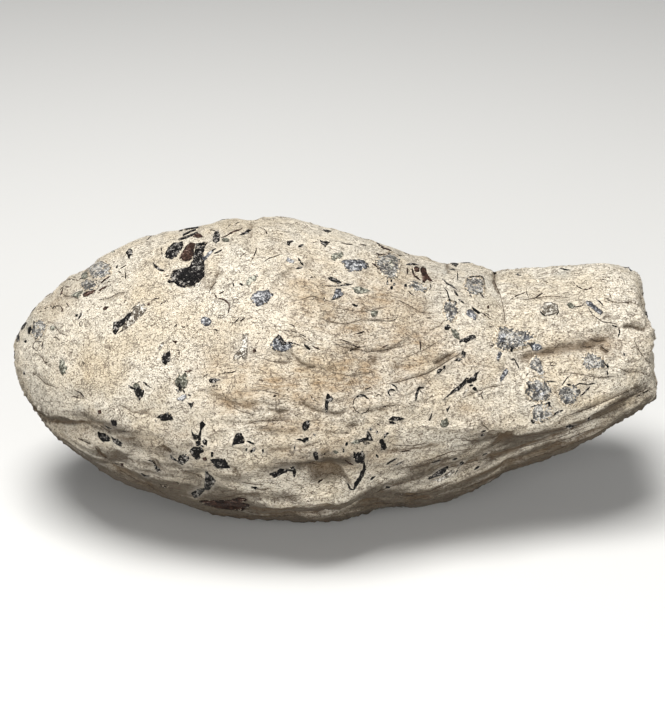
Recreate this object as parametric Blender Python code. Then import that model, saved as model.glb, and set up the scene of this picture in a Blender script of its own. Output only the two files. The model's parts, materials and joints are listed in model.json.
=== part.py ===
"""An ichthyosaur coprolite: one fossil stone, a thick spindle that narrows to a snapped-off tail.

Run it with: blender --background --python part.py

The stone lies on its belly. X runs from the round end (-X) to the snapped tail (+X), -Y is the side
that shows its best face, and Z is up. The origin is on the surface it lies on, under the middle of its box.

Lengths are in millimetres until the mesh is written. A place on the skin is given in two numbers: its
distance from the round end's tip, and its girth angle in degrees, where 0 faces -Y, 90 is the top, 180 the
back and -90 the belly.
"""

import math

import bmesh
import bpy
from mathutils import Vector, noise

MM = 0.001

# The spindle.
LENGTH = 133.0
DOME_LENGTH = 58.0  # the round end runs from its tip to the full girth over this length
SNAP_CORNER = 4.0  # how far the edge of the snapped face is rounded over
SNAP_LEAN = 0.21  # the snapped face leans back by this much for each mm of height
SNAP_REACH = 24.0  # the lean fades out over this length of tail
BELLY_WEAR = 0.6  # the belly is worn flat by this depth where it lies

# Sections of the spindle: distance from the tip, half height, half depth, height of the middle,
# and how far the middle is set back. Within the dome the half sizes shrink further to the tip.
SECTIONS = (
    (0.0, 27.6, 33.0, 33.2, 0.0),
    (20.0, 29.0, 34.0, 31.3, 0.0),
    (39.0, 30.9, 34.6, 29.7, 0.0),
    (53.0, 30.8, 34.8, 29.4, 0.0),
    (67.0, 29.4, 33.6, 28.4, 0.0),
    (77.5, 26.9, 30.6, 28.1, 0.0),
    (86.0, 25.2, 28.2, 26.8, 0.0),
    (94.5, 23.5, 26.0, 27.6, 0.0),
    (103.0, 20.9, 23.0, 28.7, 0.3),
    (115.5, 18.8, 20.8, 31.6, 0.6),
    (124.0, 16.1, 18.9, 35.1, 1.0),
    (133.0, 12.8, 16.5, 38.2, 1.5),
)

# Lumps and hollows: distance, girth angle, reach along, reach around, height. A hollow's height is negative.
SWELLINGS = (
    # The top lobes, on each side of the notch.
    (45.0, 97.0, 6.0, 10.0, 0.8),
    (57.0, 97.0, 6.0, 12.0, 0.8),
    (25.0, 98.0, 9.0, 12.0, 1.0),
    # The broad worn hollow of the near side and the pits in it.
    (79.0, 44.0, 15.0, 10.0, -1.1),
    (58.0, 30.0, 13.0, 8.0, -0.7),
    (80.3, 34.1, 1.8, 1.4, -0.9),
    (75.3, 35.5, 1.8, 1.8, -0.8),
    (90.0, 37.0, 3.6, 1.7, -1.0),
    # The undercut hollow low on the near side, and the roll under it.
    (65.6, -9.4, 4.4, 3.0, -2.9),
    (57.0, -11.0, 7.0, 3.4, -1.1),
    (74.0, -11.0, 4.5, 3.2, -0.9),
    (66.0, -20.0, 7.0, 3.2, 1.7),
    (52.0, -22.0, 9.0, 4.0, 0.7),
    # Rolls and dips low on the round end.
    (17.0, -24.0, 5.5, 4.5, 1.0),
    (9.0, -34.0, 4.0, 4.0, 0.7),
    (29.0, -20.0, 6.0, 5.0, 0.7),
    (21.0, -50.0, 8.0, 7.0, 1.0),
    (25.0, 2.0, 8.0, 4.0, 0.6),
    # The cheek above the tail's lower edge, and the drawn-in band under it.
    (113.0, 8.0, 14.0, 5.0, 0.8),
    (111.0, -24.0, 16.0, 4.8, -1.9),
    (92.0, -17.0, 9.0, 4.0, -1.0),
    # The flat top of the tail.
    (116.0, 92.0, 11.0, 9.0, -0.7),
    (128.0, 88.0, 5.0, 8.0, 0.7),
    # The bed of the large bone.
    (38.0, 69.0, 3.6, 3.6, -0.7),
    # The back.
    (30.0, 165.0, 11.0, 9.0, -1.1),
    (48.0, 195.0, 9.0, 8.0, 1.0),
    (66.0, 160.0, 9.0, 7.0, 1.1),
    (78.0, 188.0, 10.0, 6.0, -1.3),
    (97.0, 165.0, 8.0, 6.0, 0.8),
    (117.0, 178.0, 10.0, 6.0, -0.9),
    (58.0, 222.0, 8.0, 5.0, -1.0),
    (18.0, 200.0, 6.0, 7.0, 0.9),
)

# Creases and crests: height, half width, and the path they follow. A crease's height is negative.
CREASES = (
    # Notches between lobes, over the top and down the back.
    (-1.0, 1.5, ((49.0, 128.0), (50.6, 98.0), (50.0, 82.0))),
    (-0.7, 1.4, ((19.0, 150.0), (15.6, 120.0), (15.0, 100.0), (17.5, 78.0))),
    (-0.5, 1.3, ((10.0, 140.0), (7.5, 110.0), (8.5, 80.0), (12.0, 66.0))),
    (-0.8, 1.5, ((86.0, 150.0), (90.5, 125.0), (91.0, 109.0), (94.0, 92.0))),
    # The fissure of the neck.
    (
        -0.9,
        1.3,
        ((98.0, 165.0), (101.0, 130.0), (101.4, 103.0), (101.0, 80.0), (102.4, 57.0), (103.2, 46.0)),
    ),
    # The valley along the tail, and the crack that leaves it at the snapped face.
    (-1.0, 2.8, ((100.0, 29.0), (105.0, 34.0), (109.0, 37.5), (117.0, 34.0), (122.0, 33.0), (134.0, 36.0))),
    (-1.2, 1.3, ((123.0, 44.0), (129.0, 37.0), (135.0, 38.0))),
    # The tail's lower edge.
    (1.8, 2.4, ((90.0, 9.0), (97.0, 3.0), (104.0, -5.0), (113.0, -9.6), (121.0, -8.0), (134.0, -8.0))),
    (0.9, 2.0, ((110.0, -37.0), (122.0, -34.0), (134.0, -30.0))),
    # The crease over the low rolls of the round end.
    (-1.2, 1.7, ((5.5, -29.0), (9.5, -26.0), (13.0, -14.0), (18.0, -6.0), (25.0, -4.0), (31.0, -7.0))),
    (-0.8, 1.5, ((20.0, -30.0), (25.0, -22.0), (29.5, -6.0))),
    (-0.8, 1.5, ((33.0, -12.0), (38.0, -17.0), (46.0, -12.0))),
    # The crest under the roll of the belly.
    (1.6, 2.0, ((47.0, -31.0), (54.0, -30.0), (61.0, -26.5), (66.0, -25.0), (74.0, -27.0))),
    (-2.2, 3.0, ((40.0, -41.0), (52.0, -40.0), (61.0, -37.0), (68.0, -35.0), (80.0, -37.0))),
    # Old cracks of the back.
    (-1.1, 1.5, ((24.0, 185.0), (36.0, 178.0), (47.0, 172.0), (60.0, 180.0))),
    (-1.2, 1.6, ((70.0, 205.0), (83.0, 200.0), (97.0, 208.0), (110.0, 200.0), (128.0, 205.0))),
    (1.2, 2.2, ((92.0, 186.0), (104.0, 188.0), (118.0, 192.0), (133.0, 190.0))),
    (-0.9, 1.5, ((40.0, 150.0), (52.0, 140.0), (66.0, 142.0), (74.0, 134.0))),
)

# Ledges, where one layer of the skin ends on the next: height, run-out, and the path of the edge. The layer
# stands up on the left of the path, towards the larger girth angle where the path runs away from the tip.
LEDGES = (
    (0.9, 7.0, ((56.0, 62.0), (57.0, 44.0), (60.0, 35.0), (64.0, 31.5), (70.0, 34.0))),
    (0.9, 6.0, ((58.0, 20.0), (62.0, 16.5), (68.0, 14.5), (73.0, 16.0))),
    (0.8, 5.0, ((58.0, -3.0), (66.0, -3.6), (72.0, -7.0))),
    (0.8, 6.0, ((84.0, 10.0), (92.0, 6.0), (99.0, 1.0), (106.0, -3.0))),
    (0.7, 6.0, ((73.0, -14.0), (84.0, -9.5), (96.0, -9.0))),
    (0.9, 7.0, ((126.0, 150.0), (108.0, 146.0), (96.0, 152.0), (84.0, 148.0))),
    (0.9, 7.0, ((22.0, 218.0), (36.0, 212.0), (52.0, 208.0), (62.0, 214.0))),
    (0.8, 6.0, ((34.0, 118.0), (28.0, 134.0), (30.0, 150.0))),
)

PATH_ENDS = 0.2  # share of a path over which its relief rises at one end and dies away at the other
LEDGE_EDGE = 1.2  # a ledge steps down over this distance on each side of its path

# The general unevenness of the skin and of the snapped face: size of the lumps, and how far they
# rise or sink.
UNEVENNESS = ((26.0, 0.9), (11.0, 0.45), (6.0, 0.25))
FRACTURE = ((13.0, 2.2), (5.5, 0.9))
FRACTURE_RIM = 0.2  # share of the snapped face's half width over which the skin gives way to the break
FRACTURE_ONSET = 1.0  # the break also comes in over this length before the rounded edge

# How finely the skin is cut.
RINGS = 66
SIDES = 74
DOME_SHARE = 0.42  # share of the rings in the round end
FACE_SHARE = 0.10  # share of the rings on the snapped face
FACE_PACKING = 1.5  # above 1 packs the rings towards the rim of the snapped face

STONE_COLOUR = (0.56, 0.47, 0.34, 1.0)
STONE_ROUGHNESS = 0.85


def blend(value, low, high):
    """0 below low, 1 above high, and a smooth step between."""
    share = min(1.0, max(0.0, (value - low) / (high - low)))
    return share * share * (3.0 - 2.0 * share)


def section_at(distance):
    """Half height, half depth, middle height and set-back at a distance from the tip, on a smooth curve."""
    last = len(SECTIONS) - 1
    here = next((i for i in range(last) if distance <= SECTIONS[i + 1][0]), last - 1)
    before = SECTIONS[max(0, here - 1)]
    start = SECTIONS[here]
    end = SECTIONS[here + 1]
    after = SECTIONS[min(last, here + 2)]
    span = end[0] - start[0]
    share = min(1.0, max(0.0, (distance - start[0]) / span))
    sizes = []
    for k in range(1, 5):
        rise_in = (end[k] - before[k]) / (end[0] - before[0]) * span
        rise_out = (after[k] - start[k]) / (after[0] - start[0]) * span
        sizes.append(
            start[k] * (1 + 2 * share) * (1 - share) ** 2
            + rise_in * share * (1 - share) ** 2
            + end[k] * share**2 * (3 - 2 * share)
            - rise_out * share**2 * (1 - share)
        )
    return sizes


def profile_at(share):
    """Distance from the tip and share of the full girth, for a ring's share of the way along the skin."""
    face_start = LENGTH - SNAP_CORNER
    if share < DOME_SHARE:
        turn = share / DOME_SHARE * math.pi / 2
        return DOME_LENGTH * (1 - math.cos(turn)), math.sin(turn)
    if share < 1 - FACE_SHARE:
        along = (share - DOME_SHARE) / (1 - FACE_SHARE - DOME_SHARE)
        return DOME_LENGTH + along * (face_start - DOME_LENGTH), 1.0
    inward = (share - (1 - FACE_SHARE)) / FACE_SHARE
    girth = 1 - inward**FACE_PACKING
    return face_start + SNAP_CORNER * (1 - girth**4) ** 0.25, girth


def smooth_point(distance, girth, angle):
    """A point of the spindle before any relief."""
    half_height, half_depth, middle, set_back = section_at(distance)
    y = -half_depth * girth * math.cos(angle)
    z = half_height * girth * math.sin(angle)
    lean = SNAP_LEAN * blend(distance, LENGTH - SNAP_REACH, LENGTH)
    return Vector((distance - lean * z, set_back + y, middle + z))


def skin_step(start, end, radius):
    """Millimetres along and around the skin from one place to another, the short way round."""
    turn = (end[1] - start[1] + 180.0) % 360.0 - 180.0
    return Vector((end[0] - start[0], math.radians(turn) * radius))


def path_offset(place, radius, path):
    """How far a place lies to the left of a path, and the share of the path run at its nearest point."""
    nearest = None
    for index, (start, end) in enumerate(zip(path, path[1:])):
        run = skin_step(start, end, radius)
        here = skin_step(start, place, radius)
        share = min(1.0, max(0.0, here.dot(run) / run.length_squared))
        gap = here - run * share
        if nearest is None or gap.length < abs(nearest[0]):
            left = run.x * gap.y - run.y * gap.x
            nearest = (math.copysign(gap.length, left), (index + share) / (len(path) - 1))
    return nearest


def roughness_at(point, lumps):
    return sum(rise * noise.noise(point / size) for size, rise in lumps)


def relief_at(place, radius, point):
    """How far the real skin stands out from the smooth spindle."""
    height = roughness_at(point, UNEVENNESS)
    for distance, angle, along, around, rise in SWELLINGS:
        step = skin_step((distance, angle), place, radius)
        height += rise * math.exp(-((step.x / along) ** 2) - (step.y / around) ** 2)
    for rise, half_width, path in CREASES:
        offset, run = path_offset(place, radius, path)
        ends = blend(run, 0.0, PATH_ENDS) * blend(1.0 - run, 0.0, PATH_ENDS)
        height += rise * ends * math.exp(-((offset / half_width) ** 2))
    for rise, run_out, path in LEDGES:
        offset, run = path_offset(place, radius, path)
        ends = blend(run, 0.0, PATH_ENDS) * blend(1.0 - run, 0.0, PATH_ENDS)
        upper = blend(offset, -LEDGE_EDGE, LEDGE_EDGE)
        height += rise * ends * (upper - 0.5) * math.exp(-abs(offset) / run_out)
    return height


def make_stone():
    mesh = bmesh.new()
    bmesh.ops.create_uvsphere(mesh, u_segments=SIDES, v_segments=RINGS, radius=1.0)
    skin = []
    for vert in mesh.verts:
        distance, girth = profile_at(math.acos(max(-1.0, min(1.0, vert.co.z))) / math.pi)
        angle = math.atan2(vert.co.y, vert.co.x)
        skin.append((distance, girth, angle))
        vert.co = smooth_point(distance, girth, angle)
    mesh.normal_update()
    smooth = [(vert.co.copy(), vert.normal.copy()) for vert in mesh.verts]
    for vert, (distance, girth, angle), (point, normal) in zip(mesh.verts, skin, smooth):
        face_start = LENGTH - SNAP_CORNER
        on_face = blend(distance, face_start - FRACTURE_ONSET, face_start)
        on_face *= blend(1.0 - girth, 0.0, FRACTURE_RIM)
        radius = girth * section_at(distance)[0]
        side = relief_at((distance, math.degrees(angle)), radius, point)
        height = side + (roughness_at(point, FRACTURE) - side) * on_face
        vert.co = point + normal * height
        vert.co.z = max(vert.co.z - BELLY_WEAR, 0.0)
    low = Vector(map(min, zip(*(vert.co for vert in mesh.verts))))
    high = Vector(map(max, zip(*(vert.co for vert in mesh.verts))))
    middle = (low + high) / 2
    for vert in mesh.verts:
        vert.co = Vector((vert.co.x - middle.x, vert.co.y - middle.y, vert.co.z)) * MM
    data = bpy.data.meshes.new("coprolite")
    mesh.to_mesh(data)
    mesh.free()
    data.shade_smooth()
    data.materials.append(make_stone_material())
    stone = bpy.data.objects.new("coprolite", data)
    bpy.context.scene.collection.objects.link(stone)


def make_stone_material():
    material = bpy.data.materials.new("fossil_stone")
    material.use_nodes = True
    shader = material.node_tree.nodes["Principled BSDF"]
    shader.inputs["Base Color"].default_value = STONE_COLOUR
    shader.inputs["Roughness"].default_value = STONE_ROUGHNESS
    shader.inputs["Metallic"].default_value = 0.0
    return material


for old in list(bpy.data.objects):
    bpy.data.objects.remove(old)
make_stone()
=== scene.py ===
"""The looks of an ichthyosaur coprolite: a sandy fossil stone full of glossy fish scales and bone splinters.

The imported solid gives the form. This file gives the stone its fine skin and colours, lays the scales and
bones into it, and sets the floor, the light and the camera. Blender 4.5; metres, +Z up.
"""

import json
import math
import random

import bmesh
import bpy
import numpy as np
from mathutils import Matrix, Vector, noise
from mathutils.bvhtree import BVHTree
from mathutils.kdtree import KDTree

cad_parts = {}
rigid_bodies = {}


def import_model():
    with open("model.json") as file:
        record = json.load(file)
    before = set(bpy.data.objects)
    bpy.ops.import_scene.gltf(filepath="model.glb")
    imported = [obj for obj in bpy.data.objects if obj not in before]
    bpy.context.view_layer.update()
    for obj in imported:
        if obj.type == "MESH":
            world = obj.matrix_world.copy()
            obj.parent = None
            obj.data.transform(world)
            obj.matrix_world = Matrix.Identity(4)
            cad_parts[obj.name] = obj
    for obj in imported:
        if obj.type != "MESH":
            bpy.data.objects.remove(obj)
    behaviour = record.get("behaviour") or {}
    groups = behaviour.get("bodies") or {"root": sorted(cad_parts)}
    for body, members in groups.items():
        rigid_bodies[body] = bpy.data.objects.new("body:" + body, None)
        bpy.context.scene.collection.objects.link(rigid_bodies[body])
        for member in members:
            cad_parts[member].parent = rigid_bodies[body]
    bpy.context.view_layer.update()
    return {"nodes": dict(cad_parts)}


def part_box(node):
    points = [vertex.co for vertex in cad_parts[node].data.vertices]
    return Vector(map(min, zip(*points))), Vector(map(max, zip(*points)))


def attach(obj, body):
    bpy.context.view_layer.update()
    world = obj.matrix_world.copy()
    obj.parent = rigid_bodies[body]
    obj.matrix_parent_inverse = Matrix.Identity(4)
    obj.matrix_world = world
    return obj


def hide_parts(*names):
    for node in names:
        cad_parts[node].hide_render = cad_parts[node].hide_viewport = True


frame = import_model()

# ---------------------------------------------------------------------------------------------------------
# The chart of the near side. The places of cracks, scales and bones are charted as the stone shows them from
# its near side, 27 degrees above level. A chart square is 0.2123 mm wide on the upright plane through the
# stone's middle, x counts to the right and y down.
# ---------------------------------------------------------------------------------------------------------

MM = 0.001
CHART_SQUARE = 0.2123 * MM
CHART_MIDDLE = (335.0, 363.5)  # the chart square in front of the middle of the stone's box
VIEW_RISE = math.radians(27.0)
VIEW_DISTANCE = 352.0 * MM

box_low, box_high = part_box("coprolite")
stone_middle = (box_low + box_high) / 2
chart_right = Vector((1.0, 0.0, 0.0))
chart_up = Vector((0.0, math.sin(VIEW_RISE), math.cos(VIEW_RISE)))
chart_ahead = Vector((0.0, math.cos(VIEW_RISE), -math.sin(VIEW_RISE)))
chart_eye = stone_middle - chart_ahead * VIEW_DISTANCE


def chart_places(points):
    """The chart squares in which points of an (n, 3) array are seen."""
    rays = points - np.array(chart_eye)
    scale = VIEW_DISTANCE / CHART_SQUARE / (rays @ np.array(chart_ahead))
    across = CHART_MIDDLE[0] + rays @ np.array(chart_right) * scale
    down = CHART_MIDDLE[1] - rays @ np.array(chart_up) * scale
    return np.stack([across, down], axis=1)


# ---------------------------------------------------------------------------------------------------------
# The stone. Phosphate mud that set as hard as limestone, in folds and layers that run along it. Its skin is
# weathered to a fine sandy grain, with cracks where layers end. Its cracks, pits and hollows are painted
# darker:
# painted shade, with the dirt left in them.
# ---------------------------------------------------------------------------------------------------------

SKIN_CUTS = 3  # each edge of the solid is cut this many times, to about 0.6 mm
SMOOTHING_PASSES = 4
FINE_REACH = 0.42  # millimetres on each side of a crack or layer edge that are cut once more

PATH_REACH = 50.0  # chart squares round a path within which it is felt
FAR_OFF = 1e6  # the offset of places further off than that

# Cracks and creases of the near side: depth and half width in millimetres, and the path in chart squares.
CRACKS = (
    (0.75, 0.24, ((492, 266), (495, 271), (494, 281), (497, 288), (501, 296))),
    (0.35, 0.14, ((499, 292), (502, 302), (504, 312), (505, 322), (509, 334))),
    (0.90, 0.45, ((622, 327), (634, 327), (650, 328))),
    (0.30, 1.20, ((514, 364), (526, 358), (540, 352), (562, 350), (584, 345), (600, 340), (622, 333))),
    (0.16, 0.40, ((26, 399), (36, 411), (50, 421), (66, 422), (84, 422), (100, 424), (112, 429))),
    (0.45, 0.35, ((93, 445), (100, 452), (109, 459))),
    (0.40, 0.35, ((109, 462), (119, 471), (127, 474))),
    (0.40, 0.35, ((114, 436), (125, 440), (137, 440))),
    (0.45, 0.35, ((148, 458), (156, 464), (164, 472))),
    (0.40, 0.35, ((160, 444), (166, 448), (172, 454))),
    (0.45, 0.35, ((227, 465), (234, 470), (242, 478))),
    (0.55, 0.35, ((288, 350), (293, 355), (300, 362), (312, 366), (318, 366))),
    (0.60, 0.40, ((296, 400), (308, 406), (320, 412), (335, 414), (354, 411))),
    (0.40, 0.35, ((266, 409), (278, 412), (292, 412))),
    (0.35, 0.30, ((344, 427), (352, 425), (360, 427))),
    (0.50, 0.35, ((356, 502), (368, 501), (380, 498))),
    (0.45, 0.30, ((402, 500), (416, 498), (432, 496))),
    (0.35, 0.40, ((206, 260), (203, 270), (203, 280), (206, 290))),
    (0.25, 0.40, ((222, 268), (215, 277), (210, 291))),
    (0.30, 0.45, ((436, 474), (470, 462), (520, 449), (560, 434), (600, 414), (636, 396))),
    (0.30, 0.45, ((452, 486), (500, 466), (540, 452), (580, 438), (620, 411))),
    (0.30, 0.40, ((236, 508), (270, 508), (310, 505), (345, 505))),
    (0.25, 0.35, ((252, 513), (290, 513), (330, 511))),
    (0.30, 0.35, ((40, 299), (48, 293), (54, 293))),
    (0.30, 0.35, ((82, 268), (88, 270), (90, 276))),
    (0.30, 0.30, ((252, 221), (250, 230), (251, 240))),
    (0.30, 0.30, ((445, 260), (449, 268), (449, 276))),
    (0.35, 0.30, ((340, 470), (346, 478), (352, 484))),
    (0.30, 0.30, ((372, 448), (392, 452), (420, 448), (448, 444))),
    (0.25, 0.30, ((262, 452), (290, 448), (320, 446))),
    (0.25, 0.30, ((212, 396), (236, 404), (262, 410))),
    (0.30, 0.14, ((330, 340), (342, 347), (352, 348), (368, 352), (384, 350), (410, 344))),
    (0.35, 0.20, ((386, 384), (398, 382), (412, 378), (428, 373), (440, 366), (462, 352))),
    (0.25, 0.12, ((318, 318), (330, 322), (346, 324), (360, 320), (372, 320), (400, 317))),
    (0.35, 0.12, ((263, 358), (270, 361), (280, 362), (292, 362))),
    (0.30, 0.20, ((434, 364), (440, 361), (446, 357), (455, 352))),
    (0.40, 0.25, ((590, 338), (595, 341), (600, 341), (607, 340))),
    (0.40, 0.22, ((600, 345), (604, 349), (609, 352))),
    (0.40, 0.25, ((582, 346), (587, 347), (592, 346))),
    (0.30, 0.16, ((540, 352), (556, 353))),
    (0.35, 0.17, ((481, 421), (483, 425), (487, 428), (490, 431), (495, 430))),
    (0.35, 0.15, ((492, 446), (497, 443), (501, 440))),
    (0.30, 0.13, ((460, 440), (480, 441))),
    (0.50, 0.35, ((499, 441), (505, 437), (510, 434), (516, 433))),
    (0.50, 0.35, ((501, 467), (507, 464), (513, 462), (518, 461))),
    (0.45, 0.20, ((569, 429), (574, 429))),
    (0.35, 0.18, ((403, 495), (410, 496), (418, 496))),
    (0.30, 0.15, ((158, 447), (164, 446), (167, 449), (171, 453))),
    (0.35, 0.22, ((148, 460), (154, 461), (157, 467), (159, 471))),
    (0.30, 0.13, ((142, 473), (145, 475), (150, 476))),
    (0.30, 0.16, ((144, 483), (148, 484), (155, 490))),
    (0.40, 0.25, ((95, 447), (99, 452), (103, 456), (107, 458))),
    (0.30, 0.15, ((78, 438), (86, 442), (91, 444))),
    (0.25, 0.14, ((98, 424), (110, 432))),
    (0.30, 0.15, ((242, 482), (252, 484), (262, 485))),
    (0.30, 0.15, ((256, 489), (264, 490), (271, 488))),
    (0.35, 0.20, ((300, 463), (310, 463), (321, 465))),
    (0.25, 0.12, ((305, 446), (311, 444), (319, 442))),
    (0.30, 0.16, ((246, 424), (258, 421), (272, 421), (285, 420))),
    (0.30, 0.15, ((342, 354), (350, 351), (355, 348), (366, 346))),
    (0.25, 0.12, ((340, 339), (346, 341), (352, 343))),
    (0.25, 0.12, ((380, 407), (388, 406), (396, 405))),
    (0.25, 0.12, ((324, 430), (336, 433), (352, 433))),
    (0.30, 0.14, ((60, 292), (66, 296), (72, 296), (80, 300))),
    (0.18, 0.12, ((34, 352), (42, 357), (46, 364), (52, 368))),
    (0.18, 0.12, ((30, 372), (38, 376), (46, 384), (58, 388))),
    (0.20, 0.12, ((46, 320), (54, 324), (60, 333), (68, 336))),
    (0.25, 0.12, ((98, 300), (110, 298), (118, 293), (126, 292))),
    (0.25, 0.12, ((280, 330), (290, 336), (300, 336), (312, 344))),
    (0.25, 0.12, ((300, 300), (312, 296), (326, 300), (336, 304))),
    (0.30, 0.14, ((398, 300), (410, 306), (420, 312), (434, 314))),
    (0.25, 0.12, ((430, 330), (440, 326), (446, 318))),
    (0.25, 0.12, ((520, 300), (536, 298), (552, 296), (570, 298))),
    (0.25, 0.12, ((560, 372), (580, 374), (600, 378), (616, 376))),
    (0.25, 0.12, ((520, 400), (540, 398), (556, 392), (574, 390))),
    (0.30, 0.13, ((606, 300), (618, 303), (630, 302), (642, 306))),
    (0.30, 0.14, ((634, 340), (640, 352), (646, 360), (652, 364))),
    (0.30, 0.14, ((618, 368), (628, 372), (640, 372), (650, 376))),
    (0.25, 0.12, ((180, 470), (196, 474), (206, 480))),
    (0.25, 0.12, ((268, 500), (290, 496), (310, 494))),
    (0.30, 0.14, ((60, 452), (72, 462), (88, 472), (104, 480))),
    (0.30, 0.14, ((104, 484), (124, 494), (148, 503), (176, 508))),
    (0.30, 0.14, ((196, 512), (230, 516), (270, 517), (306, 514))),
    (0.30, 0.14, ((350, 508), (376, 504), (404, 503), (430, 496))),
    (0.30, 0.14, ((460, 490), (486, 480), (514, 468), (540, 458))),
    (0.30, 0.14, ((520, 462), (556, 450), (590, 437), (620, 420))),
    (0.25, 0.12, ((392, 445), (412, 446), (428, 443))),
    (0.25, 0.12, ((226, 404), (240, 411), (256, 415))),
    (0.25, 0.12, ((410, 470), (430, 463), (452, 458))),
    (0.25, 0.12, ((462, 398), (486, 388), (506, 384))),
    (0.25, 0.12, ((120, 404), (132, 412), (150, 414))),
    (0.30, 0.13, ((520, 437), (545, 433), (572, 427), (600, 416), (626, 404))),
    (0.25, 0.12, ((500, 452), (530, 445), (560, 437), (592, 425))),
    (0.30, 0.14, ((440, 470), (470, 462), (502, 455))),
    (0.30, 0.14, ((400, 498), (430, 491), (456, 480))),
    (0.25, 0.12, ((540, 447), (570, 438), (592, 429))),
    (0.30, 0.14, ((560, 418), (590, 408), (615, 397), (642, 385))),
    (0.25, 0.12, ((606, 407), (630, 397), (650, 387))),
    (0.25, 0.12, ((424, 462), (450, 452), (476, 448))),
    (0.25, 0.12, ((372, 494), (392, 486), (412, 480))),
    (0.25, 0.12, ((216, 500), (240, 494), (262, 494))),
    (0.25, 0.12, ((120, 470), (140, 482), (166, 494))),
    (0.22, 0.10, ((330, 372), (352, 376), (372, 372))),
    (0.22, 0.10, ((236, 392), (262, 390), (286, 396))),
    (0.22, 0.10, ((404, 358), (424, 350), (440, 340))),
    (0.22, 0.10, ((336, 308), (362, 312), (390, 306))),
)

# Edges where one layer ends on the next: height and run-out in millimetres, and the path in chart squares.
# The layer that stands up is on the path's left as it is drawn.
LAYER_EDGES = (
    (0.90, 2.5, ((296, 462), (308, 463), (322, 464), (338, 467), (346, 472))),
    (0.80, 2.2, ((426, 424), (436, 428), (448, 431), (470, 431), (492, 434), (518, 436))),
    (0.85, 2.0, ((478, 420), (488, 430), (500, 430), (515, 429), (532, 430), (560, 420), (582, 407),
     (650, 379))),
    (0.70, 3.0, ((262, 346), (280, 352), (300, 362), (322, 368), (348, 362))),
    (0.55, 3.0, ((198, 386), (214, 392), (232, 398), (262, 402), (292, 404))),
    (0.55, 3.0, ((350, 412), (380, 408), (410, 404), (438, 396))),
    (0.50, 2.5, ((118, 452), (140, 462), (170, 470), (204, 474))),
    (0.55, 2.5, ((240, 468), (262, 463), (290, 459))),
    (0.45, 2.5, ((56, 312), (50, 306), (42, 308), (36, 314))),
    (0.60, 2.5, ((266, 344), (266, 330), (261, 316), (265, 298), (276, 280), (292, 266), (318, 257),
     (350, 253))),
    (0.45, 2.5, ((524, 314), (556, 322), (590, 322), (628, 310))),
    (0.60, 2.5, ((382, 486), (410, 478), (440, 466), (470, 452))),
    (0.45, 1.8, ((388, 402), (412, 392), (438, 374), (462, 352), (478, 334))),
    (0.45, 1.8, ((330, 352), (356, 346), (384, 350), (408, 338), (426, 322))),
    (0.40, 1.8, ((300, 392), (330, 400), (352, 398), (374, 386))),
    (0.40, 1.8, ((216, 418), (244, 422), (276, 430), (308, 430))),
    (0.40, 1.8, ((470, 446), (500, 452), (540, 444), (580, 430))),
)

# Ridges that stand up: height and half width in millimetres, and the path in chart squares.
RIDGES = (
    (0.45, 1.10, ((534, 348), (556, 338), (578, 331), (600, 324), (614, 326))),
    (0.35, 0.60, ((584, 342), (592, 344), (600, 343), (610, 345))),
    (0.50, 0.80, ((248, 502), (262, 503), (285, 502), (300, 499), (320, 497), (348, 496))),
    (0.90, 1.10, ((262, 505), (280, 503), (306, 498), (328, 492), (341, 485), (347, 475))),
    (0.75, 1.00, ((298, 486), (312, 485), (326, 483), (338, 480))),
    (0.30, 0.80, ((494, 268), (520, 272), (560, 270), (600, 266), (622, 266))),
    (0.20, 0.80, ((60, 432), (76, 436), (92, 446))),
    (0.25, 0.60, ((205, 262), (209, 272), (210, 284))),
)

# Pits: place in chart squares, radius and depth in millimetres.
PITS = (
    (509, 435, 1.1, 0.9), (501, 436, 0.8, 0.6), (510, 463, 1.2, 0.6), (571, 429, 0.5, 0.5),
    (399, 366, 1.0, 0.6), (374, 361, 1.0, 0.5), (440, 361, 1.1, 0.5), (449, 357, 0.9, 0.5),
    (316, 468, 1.7, 0.8), (328, 470, 2.1, 1.3), (338, 471, 1.4, 0.7), (354, 426, 0.6, 0.5),
    (316, 478, 0.9, 0.4), (598, 341, 1.1, 0.5), (583, 347, 1.0, 0.5), (607, 351, 0.9, 0.4),
    (433, 480, 0.8, 0.4), (188, 446, 0.7, 0.4), (116, 456, 0.8, 0.4), (420, 436, 0.7, 0.3),
    (280, 412, 0.8, 0.4), (330, 414, 0.9, 0.4),
)


AXIS_HEIGHT = 29.4  # millimetres from the ground to the middle line of the thick part
AXIS_RISE = 8.6  # millimetres that the line climbs along the tail
TAIL_START = 22.0  # millimetres from the middle of the stone to where it starts to climb
TAIL_LENGTH = 45.0


def axis_height(x):
    """The height of the stone's own middle line: level under the thick part, and rising along the tail."""
    share = np.clip((x / MM - TAIL_START) / TAIL_LENGTH, 0.0, 1.0)
    return (AXIS_HEIGHT + AXIS_RISE * share * share * (3.0 - 2.0 * share)) * MM


def path_offsets(places, path):
    """How far chart places lie to the left of a path, in millimetres, and the share of the path run there."""
    offset = np.full(len(places), FAR_OFF)
    run = np.zeros(len(places))
    corners = np.array(path, float)
    around = (places > corners.min(axis=0) - PATH_REACH) & (places < corners.max(axis=0) + PATH_REACH)
    nearby = np.flatnonzero(around.all(axis=1))
    for index, (start, end) in enumerate(zip(corners, corners[1:])):
        step = end - start
        gap = places[nearby] - start
        share = np.clip(gap @ step / (step @ step), 0.0, 1.0)
        gap = gap - share[:, None] * step
        length = np.hypot(gap[:, 0], gap[:, 1])
        nearer = length < np.abs(offset[nearby])
        left = np.where(gap[:, 0] * step[1] - gap[:, 1] * step[0] < 0, -1.0, 1.0)
        offset[nearby[nearer]] = (left * length)[nearer]
        run[nearby[nearer]] = (index + share[nearer]) / (len(path) - 1)
    return offset * CHART_SQUARE / MM, run


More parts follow.
